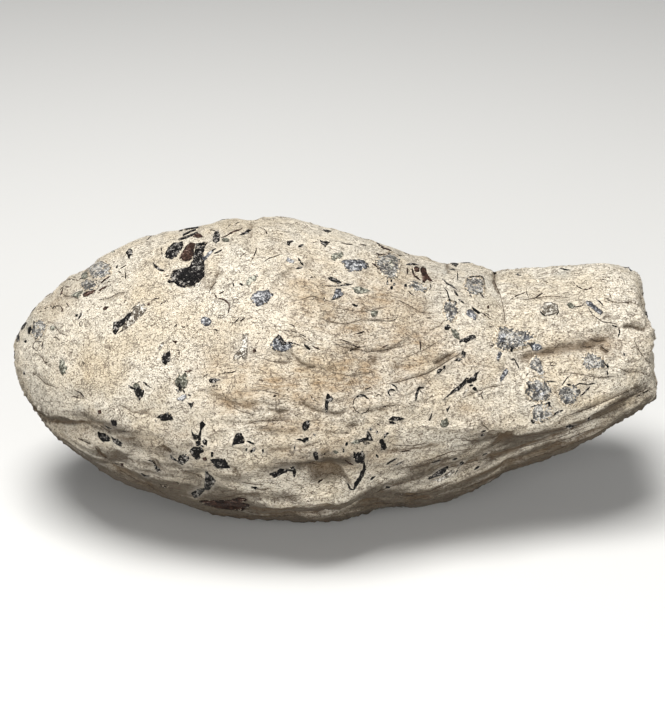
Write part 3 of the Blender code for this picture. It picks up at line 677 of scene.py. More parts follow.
# Each row is the outline of one piece, in chart squares.
BLACK_SCALES = (
    ((24.3, 339.5), (26.6, 340.3), (26.2, 343.2), (24.0, 342.6)),
    ((23.0, 371.8), (25.0, 371.5), (25.2, 374.6), (23.4, 374.4)),
    ((16.5, 334.0), (19.5, 333.0), (19.5, 341.0), (17.0, 341.5)),
    ((20.5, 327.0), (24.0, 322.5), (27.0, 323.0), (24.5, 327.5), (22.0, 329.5)),
    ((28.0, 328.0), (31.0, 325.5), (32.5, 329.0), (30.0, 334.0), (28.0, 333.0)),
    ((33.5, 321.0), (35.0, 322.0), (34.5, 329.0), (33.2, 328.0)),
    ((126, 253), (129, 249), (132, 250), (133, 255), (130, 255.5), (130, 258), (128, 258), (128, 256)),
    ((165.3, 254.5), (168.4, 248.2), (173.8, 243.3), (181.8, 242), (182.7, 246.4), (180, 251), (176.4, 256.3),
     (172, 258.5), (166.6, 257.1)),
    ((169.7, 280.4), (172.9, 275), (174.6, 270.5), (180, 268.8), (185.4, 268.4), (189.8, 266.6), (191.6, 262),
     (195.2, 258.4), (194.3, 253), (196, 245.5), (200.5, 245), (206.8, 243.4), (203.7, 249.1), (202.6, 255),
     (203.4, 265), (203.4, 275), (199.4, 280), (193.4, 284.4), (185.4, 286), (180, 285), (175.5, 281),
     (171, 282)),
    ((184, 228.2), (190, 226.4), (199, 226), (198.5, 228.4), (192, 229), (185, 230.2)),
    ((183, 234.2), (189, 231.4), (195, 228.8), (195.5, 230.4), (190, 233), (184, 236)),
    ((179, 239), (186, 236.2), (192, 234), (197, 231.8), (197, 233.6), (192, 236.2), (186, 238.6),
     (180, 240.6)),
    ((213, 238), (215, 232), (218, 231), (220, 236), (219, 241), (216, 243), (213, 241)),
    ((239.5, 235), (243, 232.6), (248, 229.6), (251.5, 230), (247.5, 233.4), (243, 235.2)),
    ((287, 241), (293, 240.6), (293, 242), (290.5, 243), (289.5, 246), (287.5, 245.5)),
    ((323, 229.8), (327, 229.8), (331.5, 231.4), (328, 232.6), (325, 231.6)),
    ((320, 240), (323, 242), (326, 241), (329.5, 242.5), (327, 245), (325, 247.5), (323, 245), (321, 243.5)),
    ((328, 278), (332, 277.3), (336, 279), (341, 282), (338, 283.8), (333, 282), (330, 280.4)),
    ((113, 331), (114.2, 321.6), (118.4, 321.4), (122.9, 319), (128.2, 313.8), (132.8, 312.6), (131, 318),
     (125.6, 322.6), (120.6, 327), (116, 334)),
    ((162, 358), (164, 354), (168, 352), (169.5, 351), (170.3, 354), (170, 361.5), (168, 362), (165.5, 364.5),
     (162.5, 362)),
    ((187, 402), (190.5, 403), (194, 401.5), (193, 405), (191, 409), (189.5, 405)),
    ((208.5, 380), (211, 378.4), (216, 378.6), (221, 380), (217, 381.2), (215, 382.8), (211, 382.6)),
    ((134, 388), (137, 386), (141, 387), (144, 391), (142.5, 396), (139.5, 399.5), (136.5, 396),
     (134.5, 391)),
    ((157, 417.5), (160, 415), (164, 414), (168, 412.3), (171, 415), (173, 419.3), (169, 420), (162, 420.8),
     (160, 418)),
    ((177.5, 383), (180, 380), (182.5, 383), (182, 389), (179, 389)),
    ((276, 338), (279.5, 335), (282.5, 338.5), (284.5, 341.5), (292, 341.8), (287, 345.5), (282, 348.5),
     (279, 345), (278, 341)),
    ((304.5, 344.2), (307, 345.6), (310.5, 348.6), (309.5, 350), (306.5, 348.6), (304.6, 346)),
    ((327, 394), (330, 395), (333, 399), (331, 401.5), (329, 402), (327, 406), (328, 409), (327, 411.3),
     (325, 409), (325, 404), (326, 399)),
    ((389, 419.2), (393, 416.3), (398, 416.8), (404.5, 418.6), (400, 420.6), (393, 420.6)),
    ((389, 421.5), (392, 421.2), (396, 423), (394, 424.2), (390, 423.4)),
    ((110.8, 420.6), (114.5, 420), (116.3, 420), (117, 426.3), (113, 426.3), (111.5, 423)),
    ((98, 431.3), (100, 433), (104, 433.4), (108, 436), (111.5, 440), (107, 441.3), (102, 441.3), (99, 437)),
    ((111, 436), (114, 438.6), (118, 439.6), (122, 443), (121.6, 445.8), (118, 445.2), (114, 442.2)),
    ((177, 460.4), (180, 455.4), (184, 454.4), (188, 455), (189, 459), (185, 463), (182, 464.3),
     (178, 461.6)),
    ((200, 423.4), (202, 422), (205.4, 425), (203, 427), (201.6, 430), (200.6, 440), (198.4, 441), (198, 436),
     (200, 430)),
    ((191.6, 430.4), (194, 434), (198, 435), (197, 439.4), (194, 439.4), (192, 434.6)),
    ((195.4, 441), (200.4, 441), (200.2, 445), (197, 446)),
    ((202, 441), (205, 439), (207.2, 441), (206.6, 445.2), (203, 443.4)),
    ((190, 451), (194, 447), (199, 447.5), (201, 445), (203.2, 447), (203.2, 452), (200, 454), (200, 457.4),
     (198, 459.4), (195, 458.4), (192, 454.6)),
    ((211, 460), (215, 459), (224, 459), (226.4, 462), (229.4, 467.6), (218, 468.2), (214, 465.4)),
    ((206, 470), (208, 473), (212, 477), (215.4, 481), (213, 485), (209, 489.4), (204.5, 488.6), (205, 480)),
    ((205.4, 488), (197, 489.6), (191.6, 493), (194.5, 497.4), (199, 496.2), (203.4, 491.4)),
    ((232.4, 445.4), (234, 439), (236, 434.4), (239, 432.8), (241.8, 434), (244.2, 440), (243.8, 443),
     (236, 444)),
    ((250, 451), (253, 448), (255.4, 446.8), (254.4, 451.6), (251, 452.4)),
    ((261.8, 450), (263.4, 449), (264.4, 452.8), (262.6, 453.2)),
    ((245, 449), (247.4, 447.6), (247.4, 450.6), (245.6, 450.8)),
    ((269, 473.5), (275, 472), (280, 468.8), (283.4, 469.4), (286.8, 468.2), (286.4, 472), (282, 473.6),
     (279, 475.2), (274, 477.8), (272, 475.6)),
    ((288, 470.6), (291, 466.6), (294.4, 466.8), (296, 472), (294.6, 476.8), (293.2, 476), (292.6, 471.6)),
    ((302.6, 424), (305, 421.6), (309, 420.4), (310, 423.6), (308, 429), (304.6, 430.4), (302.4, 428)),
    ((297, 439.5), (300, 438.2), (303, 440), (304, 437.6), (308.4, 437.4), (307.8, 441.4), (304, 442.4),
     (301, 440.8)),
    ((313, 452.2), (317.5, 451.8), (318, 457), (319.2, 460.2), (315.5, 460.4), (313.8, 457)),
    ((354, 451.6), (356, 455), (358, 452), (360, 453.4), (362, 451), (364.2, 455), (363.8, 462.8),
     (358, 463.2),
     (355.4, 461), (353.8, 457)),
    ((357, 440.6), (363, 438), (366.6, 437.6), (367.4, 431.6), (369, 433), (371.6, 437), (372.6, 440.6),
     (367, 440.4), (360, 442)),
    ((379, 440.4), (382, 438.8), (385, 442), (386.6, 447.6), (384, 450), (381, 449.4), (381, 445),
     (379.8, 443)),
    ((369, 427.4), (372.4, 429), (371.6, 431), (369.6, 430.4)),
    ((375, 431), (378, 430.6), (378.4, 433.2), (376, 433.6)),
    ((345, 442.4), (347.6, 442), (348, 445.4), (345.4, 445.8)),
    ((384.8, 486.4), (391.4, 486.4), (391, 488), (385.4, 488)),
    ((251.6, 487), (255, 486.4), (258.6, 488), (255, 489.4)),
    ((443.4, 399.4), (449, 394), (453, 389.6), (457, 386.6), (461, 383.6), (465, 378.8), (467.8, 377.8),
     (467.2, 383), (462, 386.8), (458, 391.2), (454, 392.4), (450, 395)),
    ((467, 383.2), (470, 378.2), (475, 373.8), (480, 370.8), (477.2, 374.6), (476.6, 380), (472, 382.4)),
    ((469, 385), (473, 384), (473, 386), (470, 386.6)),
    ((471.6, 388.4), (475.2, 386.6), (477.4, 390.8), (474, 390.4)),
    ((445.6, 407.8), (447.2, 409), (449.8, 406.4), (448.8, 410), (447.6, 412)),
    ((436.6, 371), (439, 368.6), (442.4, 369.4), (440.6, 372.4), (437.4, 373.4)),
    ((443, 366), (445.4, 365.4), (445, 368.6), (443.2, 368.8)),
    ((460.6, 353.6), (463, 350.8), (465.6, 352.6), (465, 356.8), (461, 358), (463.2, 354.8)),
    ((454, 360.6), (458, 357.6), (462, 359.4), (459.4, 361.4)),
    ((459.8, 340), (465, 337.8), (470, 335.4), (473.5, 334.8), (475.4, 338), (470, 340.2), (466, 342.8),
     (464, 341.2), (460.4, 342.8)),
    ((447.4, 315), (450.6, 315), (450.6, 318.4), (447.6, 317.6)),
    ((444, 327.6), (447.5, 323.8), (450.8, 327.5), (448, 330.3), (445.4, 329.8)),
    ((470.8, 306.6), (476, 309.4), (480.4, 313), (478.6, 313.8), (474, 311.4)),
    ((450.4, 263), (454, 262), (458.4, 264), (456, 266.8), (452.4, 264.8)),
    ((480, 435.6), (483, 433.4), (485.2, 434.4), (482, 436.2)),
    ((428, 478.6), (431, 475.8), (436, 472.2), (442, 468.6), (447.4, 466.2), (447, 468.6), (444, 473),
     (440, 475.6), (434, 477.2), (430, 479.2)),
    ((459, 463.6), (461, 461.6), (464.4, 461), (462.4, 464.6), (460, 465)),
    ((518, 273.6), (521.4, 275.8), (518.8, 276), (515, 274.4)),
    ((564.6, 391), (568, 388.6), (572, 389.2), (573.2, 393), (572, 397), (569, 396), (565, 394.4)),
    ((567, 384.2), (570.8, 383.6), (571, 386.4), (568, 386.6)),
    ((526.4, 382.6), (528.6, 383.2), (532, 389.6), (530.4, 390.6), (527.6, 387)),
    ((538, 392.4), (541, 391.6), (542.6, 394.6), (540.6, 396.8), (538, 395.6)),
    ((547.6, 401.6), (550.4, 402.4), (550, 408), (548, 407.4)),
    ((531, 419.6), (534, 418.8), (535.6, 421.4), (533.4, 423.6), (531, 422.4)),
    ((514.6, 360.6), (516.2, 360.8), (519.6, 368.4), (518.2, 368.2)),
    ((510, 349.4), (511.4, 344.4), (513, 348.6), (512.4, 352), (510.6, 351.8)),
    ((499.6, 343.2), (502, 340.8), (508, 342.2), (505.4, 345.4), (501, 345)),
    ((502.4, 329.6), (504.4, 330.4), (506.8, 335.4), (505.2, 335.4)),
    ((404, 284), (406.8, 284), (406.6, 286.8), (404.2, 286.6)),
    ((117.4, 264.4), (118.4, 265.2), (117.2, 268.6), (115.6, 268)),
    ((386.4, 281), (388, 280.4), (388.4, 284.6), (386.8, 284.8)),
    ((390.4, 279.8), (392.2, 280), (392, 282), (390.4, 282)),
    ((389.4, 286.4), (392, 286), (393.4, 288.6), (391, 289.6)),
    ((393.2, 283.4), (395.2, 283.2), (395, 285.8), (393.4, 285.6)),
    ((428.8, 420), (430.4, 416), (431.6, 413), (432.2, 414), (431.2, 417.6), (430.2, 420.6)),
    ((343, 448.4), (344.4, 449), (344.2, 452.2), (342.6, 452)),
    ((210.8, 452.2), (213.2, 452), (213, 456.6), (211.2, 457)),
    ((154, 464.6), (157.4, 466.2), (160.6, 470.4), (157, 471.2), (155, 468)),
)


def chart_seat(across, down):
    """Where the skin shows at a chart place, and which way it faces there."""
    right = (across - CHART_MIDDLE[0]) * CHART_SQUARE
    up = (CHART_MIDDLE[1] - down) * CHART_SQUARE
    ray = chart_ahead * VIEW_DISTANCE + chart_right * right + chart_up * up
    place, normal, _, _ = stone_skin.ray_cast(chart_eye, ray.normalized())
    if place is None:
        place, normal, _, _ = stone_skin.find_nearest(chart_eye + ray)
    return place, normal


def skin_seat(place, normal, heading):
    """The same for a piece centred on any place of the skin, with its own chart turned to a heading."""
    side = normal.orthogonal().normalized()
    side = side * math.cos(heading) + normal.cross(side) * math.sin(heading)
    along = normal.cross(side)

    def seat(across, down):
        near_place, near_normal, _, _ = stone_skin.find_nearest(
            place + side * (across * CHART_SQUARE) - along * (down * CHART_SQUARE)
        )
        return near_place, near_normal

    return seat


def new_shape():
    made = bmesh.new()
    made.verts.layers.float.new("rim")
    made.verts.layers.float.new("tone")
    return made


def seat_piece(shape, verts, seat, spot_of, proud, tone, depth):
    """Lays flat new faces on the skin, closed by an underside a depth into the stone. spot_of gives a
    vertex's place on the chart and its share of the way to the rim."""
    rim_layer = shape.verts.layers.float["rim"]
    tone_layer = shape.verts.layers.float["tone"]
    for vert in verts:
        across, down, rim = spot_of(vert.co)
        place, normal = seat(across, down)
        crown = proud * (1.0 - rim**3) * (0.8 + 0.4 * noise.noise(place * 2200.0))
        vert.co = place + normal * ((0.05 + crown) * MM)
        vert[rim_layer] = rim
        vert[tone_layer] = tone
    faces = list({face for vert in verts for face in vert.link_faces})
    grown = bmesh.ops.extrude_face_region(shape, geom=faces, use_keep_orig=True)["geom"]
    under = [item for item in grown if isinstance(item, bmesh.types.BMVert)]
    for vert in under:
        place, normal, _, _ = stone_skin.find_nearest(vert.co)
        vert.co = place - normal * (depth * MM)
    faces += list({face for vert in under for face in vert.link_faces} - set(faces))
    bmesh.ops.recalc_face_normals(shape, faces=faces)


def chipped(outline, chance):
    """An outline with points every so many squares, each knocked in or out a little."""
    points = []
    for start, end in zip(outline, outline[1:] + outline[:1]):
        count = max(1, round(math.dist(start, end) / CHIP_SPACING))
        for step in range(count):
            share = step / count
            points.append(
                (
                    start[0] + (end[0] - start[0]) * share + chance.uniform(-CHIP, CHIP),
                    start[1] + (end[1] - start[1]) * share + chance.uniform(-CHIP, CHIP),
                )
            )
    return points


def add_plate(shape, seat, outline, chance):
    """A thin plate with an outline in chart squares, crowned and laid on the skin."""
    corners = chipped(outline, chance)
    middle = np.mean(corners, axis=0)
    corners = [middle + (np.array(corner) - middle) * LAPPED for corner in corners]
    reach = max(math.dist(corner, middle) for corner in corners)
    ring_count = min(6, max(1, round(reach / 3.0)))
    verts = bmesh.ops.create_circle(shape, segments=len(corners), radius=1.0)["verts"]
    ring = list({edge for vert in verts for edge in vert.link_edges})
    made = list(verts)
    for index in range(ring_count):
        grown = bmesh.ops.extrude_edge_only(shape, edges=ring)["geom"]
        inner = [item for item in grown if isinstance(item, bmesh.types.BMVert)]
        ring = [edge for edge in grown if isinstance(edge, bmesh.types.BMEdge)]
        ring = [edge for edge in ring if all(vert in inner for vert in edge.verts)]
        share = (ring_count - index) / (ring_count + 1.0)
        outer = (ring_count + 1.0 - index) / (ring_count + 1.0)
        bmesh.ops.scale(shape, vec=(share / outer, share / outer, 1.0), verts=inner)
        made += inner
    filled = bmesh.ops.contextual_create(shape, geom=ring)["faces"]
    made += bmesh.ops.poke(shape, faces=filled)["verts"]

    def spot_of(flat):
        turn = math.atan2(flat.y, flat.x) % (2.0 * math.pi)
        corner = corners[round(turn / (2.0 * math.pi) * len(corners)) % len(corners)]
        share = math.hypot(flat.x, flat.y)
        return *(middle + (np.array(corner) - middle) * share), share

    seat_piece(shape, made, seat, spot_of, PLATE_CROWN, chance.random(), PLATE_DEPTH)


def add_splinter(shape, seat, path, width, chance, proud=0.05, tone=None):
    """A narrow piece along a path in chart squares, thinning to its two ends."""
    lengths = np.cumsum([0.0] + [math.dist(start, end) for start, end in zip(path, path[1:])])
    count = max(2, round(lengths[-1] / 1.6))
    across_count = 2 if width > 1.5 else 1
    made = bmesh.ops.create_grid(shape, x_segments=count, y_segments=across_count, size=1.0)["verts"]
    wander = chance.uniform(0.0, 100.0)

    def spot_of(flat):
        share = min(max((flat.x + 1.0) / 2.0, 0.0), 1.0)
        run = share * lengths[-1]
        spot = np.array([np.interp(run, lengths, [point[axis] for point in path]) for axis in (0, 1)])
        ahead = np.array([np.interp(run + 0.8, lengths, [point[axis] for point in path]) for axis in (0, 1)])
        behind = np.array([np.interp(run - 0.8, lengths, [point[axis] for point in path]) for axis in (0, 1)])
        step = (ahead - behind) / max(math.dist(ahead, behind), 1e-6)
        half = width / 2 * (0.25 + 0.75 * (1.0 - abs(2.0 * share - 1.0) ** 3))
        half *= 0.85 + 0.5 * noise.noise(Vector((wander, run * 0.35, flat.y * 3.0)))
        return spot[0] - step[1] * half * flat.y, spot[1] + step[0] * half * flat.y, abs(flat.y)

    seat_piece(shape, made, seat, spot_of, proud, chance.random() if tone is None else tone, SPLINTER_DEPTH)


def finish_piece(shape, name, finish):
    """Makes the laid plates and splinters one piece of the part."""
    mesh = bpy.data.meshes.new(name)
    shape.to_mesh(mesh)
    shape.free()
    mesh.shade_smooth()
    mesh.materials.append(finish)
    piece = bpy.data.objects.new(name, mesh)
    bpy.context.scene.collection.objects.link(piece)
    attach(piece, "root")


def crazed_enamel(name, dark, middle, light, glint_edge, gloss, crumb_edge):
    """Fish enamel crazed into flecks of about 0.6 mm: a dark ground, a middle tone, and pale flecks on its
    ridges, which are painted glints as well as the enamel's pale crazing. Its rim is darker: a dark outline
    with the painted shade of the crack round it. Grains of the matrix lap over its rim and fill its chips."""
    material, tree, shader, place = new_material(name)
    rim = add_node(tree, "Attribute", {}, "Fac", attribute_name="rim")
    tone = add_node(tree, "Attribute", {}, "Fac", attribute_name="tone")
    noises = {}
    for part, size, detail, rough, bent in (
        ("flecks", 0.60, 3.0, 0.75, 0.8),
        ("ribs", 1.7, 2.0, 0.5, 0.8),
        ("crumbs", 0.60, 2.0, 0.6, 0.4),
        ("sand", 0.34, 2.0, 0.55, 0.0),
    ):
        spread = {"Vector": place, "Scale": 1.0 / (size * MM), "Detail": detail, "Roughness": rough}
        noises[part] = add_node(tree, "TexNoise", {**spread, "Distortion": bent})

    lift = add_node(tree, "Math", {0: tone, 1: 0.5}, operation="SUBTRACT")
    lift = add_node(tree, "Math", {0: lift, 1: 0.06}, operation="MULTIPLY")
    value = add_node(tree, "Math", {0: noises["flecks"], 1: lift}, operation="ADD")
    ribbed = add_node(tree, "Math", {0: noises["ribs"], 1: 0.5}, operation="SUBTRACT")
    ribbed = add_node(tree, "Math", {0: ribbed, 1: 0.4}, operation="MULTIPLY")
    value = add_node(tree, "Math", {0: value, 1: ribbed}, operation="ADD")

    steps = {}
    for part, source, low, high, top in (
        ("middle", value, 0.42, 0.56, 1.0),
        # Pale flecks on the ridges: painted glints, with the pale crazing of the enamel.
        ("glints", value, glint_edge - 0.03, glint_edge + 0.03, 1.0),
        # A darker rim: the plate's dark outline, with painted shade of the crack round it.
        ("rim_outline_and_shade", rim, 0.72, 1.00, 0.55),
        ("lapped_rim", rim, 0.60, 1.05, 0.21),
        ("sand", noises["sand"], 0.4, 0.6, 1.0),
        ("worn", noises["flecks"], 0.3, 0.7, 0.35),
    ):
        span = {"Value": source, "From Min": low, "From Max": high, "To Max": top}
        steps[part] = add_node(tree, "MapRange", span, interpolation_type="SMOOTHSTEP")
    crumbs = add_node(tree, "Math", {0: noises["crumbs"], 1: steps["lapped_rim"]}, operation="ADD")
    span = {"Value": crumbs, "From Min": crumb_edge, "From Max": crumb_edge + 0.035, "To Max": 1.0}
    crumbs = add_node(tree, "MapRange", span, interpolation_type="SMOOTHSTEP")

    pair = {0: steps["sand"], 6: linear("#877A65"), 7: linear("#CBC0AE")}
    sand = add_node(tree, "Mix", pair, 2, data_type="RGBA", blend_type="MIX")
    colour = linear(dark)
    for amount, over in (
        (steps["middle"], linear(middle)),
        (steps["glints"], linear(light)),
        (steps["rim_outline_and_shade"], linear(dark)),
        (crumbs, sand),
    ):
        pair = {0: amount, 6: colour, 7: over}
        colour = add_node(tree, "Mix", pair, 2, data_type="RGBA", blend_type="MIX")

    roughness = add_node(tree, "Math", {0: steps["worn"], 1: gloss}, operation="ADD")
    sandy = add_node(tree, "Math", {0: crumbs, 1: 0.85}, operation="MULTIPLY")
    roughness = add_node(tree, "Math", {0: roughness, 1: sandy}, operation="MAXIMUM")
    raised = add_node(tree, "Math", {0: crumbs, 1: 0.6}, operation="MULTIPLY")
    bump = add_node(tree, "Math", {0: value, 1: raised}, operation="ADD")
    finish_shader(tree, shader, colour, roughness, bump, 0.3 * MM)
    shader.inputs["Specular IOR Level"].default_value = 0.10
    return material


HIDDEN_GAP = 0.8  # how near two pieces may lie, as a share of their reaches
TRIES = 30  # how many places are tried for each piece

# The sides that the chart doesn't reach, as places where pieces can lie, gathered in loose clusters.
hidden = np.flatnonzero((near < 0.25) & (skin[:, 2] > 1.5))
gathered = eased(lumps(skin[hidden], 11.0, 21), -0.5, 0.35) + 0.08
hidden_share = gathered / gathered.sum()
taken = []


def hidden_seats(count, reach, chance):
    """Seats for pieces of a reach in millimetres on the hidden sides, clear of the pieces laid before."""
    seats = []
    for _ in range(count * TRIES):
        if len(seats) == count:
            break
        index = hidden[np.searchsorted(np.cumsum(hidden_share), chance.random() * 0.999999)]
        place, normal, _, _ = stone_skin.find_nearest(Vector(moved[index]))
        size = reach * chance.uniform(0.35, 1.0)
        if any((place - other).length < (size + used) * HIDDEN_GAP * MM for other, used in taken):
            continue
        taken.append((place, size))
        seats.append((skin_seat(place, normal, chance.uniform(0.0, 2.0 * math.pi)), size * MM / CHART_SQUARE))
    return seats


def broken_outline(reach, chance):
    """A made-up outline of a broken scale, in chart squares about its own middle."""
    count = chance.randint(5, 8)
    flatness = chance.uniform(0.4, 0.9)
    corners = []
    for index in range(count):
        turn = 2.0 * math.pi * (index + chance.uniform(-0.3, 0.3)) / count
        length = reach * chance.uniform(0.6, 1.0)
        corners.append((length * math.cos(turn), length * flatness * math.sin(turn)))
    return tuple(corners)


def bent_path(reach, chance):
    """A made-up path of a splinter, straight to gently bent, in chart squares about its own middle."""
    bow = reach * chance.uniform(-0.35, 0.35)
    return tuple((reach * along, bow * (1.0 - along * along)) for along in (-1.0, -0.4, 0.3, 1.0))


chance = random.Random(41)
enamel = crazed_enamel(
    "black_fish_enamel", "#050404", "#151312", "#908B84", glint_edge=0.590, gloss=0.38, crumb_edge=0.755
)
shape = new_shape()
for outline in BLACK_SCALES:
    add_plate(shape, chart_seat, outline, chance)
for seat, reach in hidden_seats(count=95, reach=3.0, chance=chance):
    add_plate(shape, seat, broken_outline(reach, chance), chance)
finish_piece(shape, "black_scales", enamel)

# ---------------------------------------------------------------------------------------------------------
# The bone splinters. Thin dark brown ribs, spines and fin rays, seen from the side or end on, pressed in line
# with the layers of the stone.
# ---------------------------------------------------------------------------------------------------------

LAPPED_WIDTH = 1.25  # a black splinter is this much wider than what shows
BLACK_TONE = 0.3  # black splinters are evenly darker than the scales, whose tone runs from 0 to 1

# Width and path, in chart squares.
BLACK_SPLINTERS = (
    (4.0, ((364, 462), (364.5, 468), (362, 474), (358.5, 480), (356, 485), (353.6, 490))),
    (1.8, ((354, 490), (350, 489), (348, 484.4), (346.6, 483.4))),
    (2.6, ((153, 263), (156, 267), (160, 270), (164.4, 271))),
    (2.4, ((170, 455), (173, 458.5), (177.4, 461))),
    (1.6, ((183, 229.6), (178.6, 231.6))),
    (1.5, ((210, 252.4), (213, 250.2), (216.4, 248.4))),
    (1.4, ((214, 253.6), (218, 252), (222.4, 249.6))),
    (1.5, ((340, 285.6), (346, 285.2), (353, 284))),
    (1.2, ((343, 283), (346, 284), (350, 284))),
    (1.8, ((331, 300), (337, 298), (343.4, 294.4))),
    (2.2, ((389, 433), (386, 434), (384, 438))),
    (2.6, ((424, 388.2), (421, 387.4), (418.5, 388), (417, 393), (415.6, 400.6))),
    (1.2, ((419, 388.6), (421.4, 392.4))),
    (1.7, ((386, 465), (390, 462), (397.4, 457.8))),
    (1.4, ((395, 465.6), (402.4, 461.4))),
    (2.0, ((370, 480), (375.4, 475.8))),
    (1.8, ((376, 454), (378.2, 458))),
    (2.2, ((188, 394.4), (191, 396))),
    (2.0, ((388, 394), (388.6, 390.6), (392, 389), (395.6, 391))),
    (1.6, ((388.6, 393), (390.4, 396.4))),
    (1.3, ((391, 384), (395, 386), (397.4, 389.4))),
    (2.0, ((356, 397.4), (360, 395.2), (364, 395.6), (368.6, 399))),
    (2.2, ((352, 304), (356, 306.4), (358, 305))),
    (1.1, ((117.6, 333.6), (122, 330.4), (130, 325), (138, 318.8), (146, 310.6))),
    (1.3, ((131.6, 308.8), (135.4, 306.6), (139.4, 305.2))),
    (1.6, ((82, 311.4), (80.6, 315.4), (78.4, 319.4))),
    (2.6, ((75.4, 316.6), (77.8, 314.4))),
    (1.8, ((184, 385), (187.6, 382.6))),
    (1.6, ((176, 389), (179.4, 392.4))),
    (1.6, ((178.4, 388.2), (181.4, 392))),
    (1.4, ((183, 389.6), (184.8, 393.4))),
    (1.8, ((143, 381.8), (146, 384), (150.6, 387.8))),
    (1.8, ((128, 385.4), (131, 387), (134.4, 389.4))),
    (1.4, ((442, 278.6), (447, 283.5), (452, 286.2), (457, 289.8))),
    (1.3, ((444, 288), (447, 291), (448.4, 296), (450, 301), (451, 307))),
    (1.4, ((465, 281.4), (470, 278), (473, 276.4), (477, 277.4), (480, 276), (483, 277.4), (484.4, 284.6))),
    (1.6, ((478, 283), (478, 290), (481, 294), (484, 298))),
    (1.2, ((465.6, 312.4), (469, 316), (473, 319.6), (476, 319))),
    (1.4, ((449, 269.5), (453, 269.5), (455.4, 271))),
    (1.1, ((457.5, 271), (457.6, 281))),
    (2.2, ((454.6, 290.4), (456, 294), (458.4, 296))),
    (2.6, ((453, 301), (456.8, 303))),
    (1.6, ((458, 299), (461, 301), (464.4, 304))),
    (2.0, ((406, 264.6), (411, 264), (418.4, 265))),
    (1.5, ((560, 268.2), (564, 269.5), (570.4, 270.2))),
    (1.3, ((596, 299), (600, 302), (603.4, 306))),
    (1.6, ((548, 309), (551, 311), (553.2, 315))),
    (1.4, ((540, 311), (543, 315), (545.4, 316))),
    (1.5, ((557, 308), (558.4, 312), (556.4, 315.4))),
    (1.0, ((560, 388.4), (564, 382), (567, 378), (571.4, 374))),
    (1.4, ((574, 386), (580, 383.5), (588, 384.4))),
    (1.3, ((588, 384.6), (595.4, 382.8))),
    (1.4, ((590.4, 386), (586, 391), (580, 396.4))),
    (1.6, ((598, 358.6), (603, 362), (607, 366), (608, 369))),
    (1.6, ((607, 370), (608.2, 377.4))),
    (1.6, ((607, 363.6), (608.6, 367.6))),
    (1.8, ((623.4, 352.4), (625, 356.4))),
    (1.6, ((530, 407), (540, 405), (548, 402.6))),
    (2.2, ((552, 416.4), (558, 412), (563.4, 410))),
    (1.4, ((541, 384.4), (545, 382), (550, 381.4), (556, 382))),
    (1.4, ((510, 359.4), (514, 358.8), (516, 361))),
    (1.6, ((619, 328), (619.6, 332.6), (618, 337.4))),
    (1.6, ((612, 325), (617.4, 327))),
    (1.6, ((481, 432), (486, 430.6))),
    (1.3, ((482, 455.4), (487.4, 453))),
    (1.8, ((474, 470), (479.4, 465.8))),
    (1.6, ((452, 460), (457.4, 458))),
    (1.3, ((432, 463), (440.4, 459.8))),
    (1.2, ((461, 465), (458, 469), (455, 474.4))),
    (1.8, ((313.4, 433), (315.4, 436.4))),
    (1.4, ((295, 445.6), (294.6, 449.6))),
    (2.0, ((247, 441), (250, 442.2), (254.6, 444.4))),
    (1.5, ((148, 460), (152, 461), (155.4, 464.4))),
    (1.6, ((141, 473), (145, 476), (149.4, 475.8))),
    (1.6, ((105, 425.8), (108, 427.6), (112.4, 428.6))),
    (1.4, ((155, 419.4), (156.6, 422.4))),
    (2.2, ((298, 258), (300, 261.6), (303.4, 265.4))),
    (1.8, ((296, 269), (302.6, 267.4))),
    (2.0, ((298, 247.2), (303.6, 244.4))),
    (2.2, ((239, 284), (243.4, 285.4))),
    (1.5, ((233, 282.8), (234.2, 287.4))),
    (2.4, ((256, 274.6), (258, 276.6))),
)
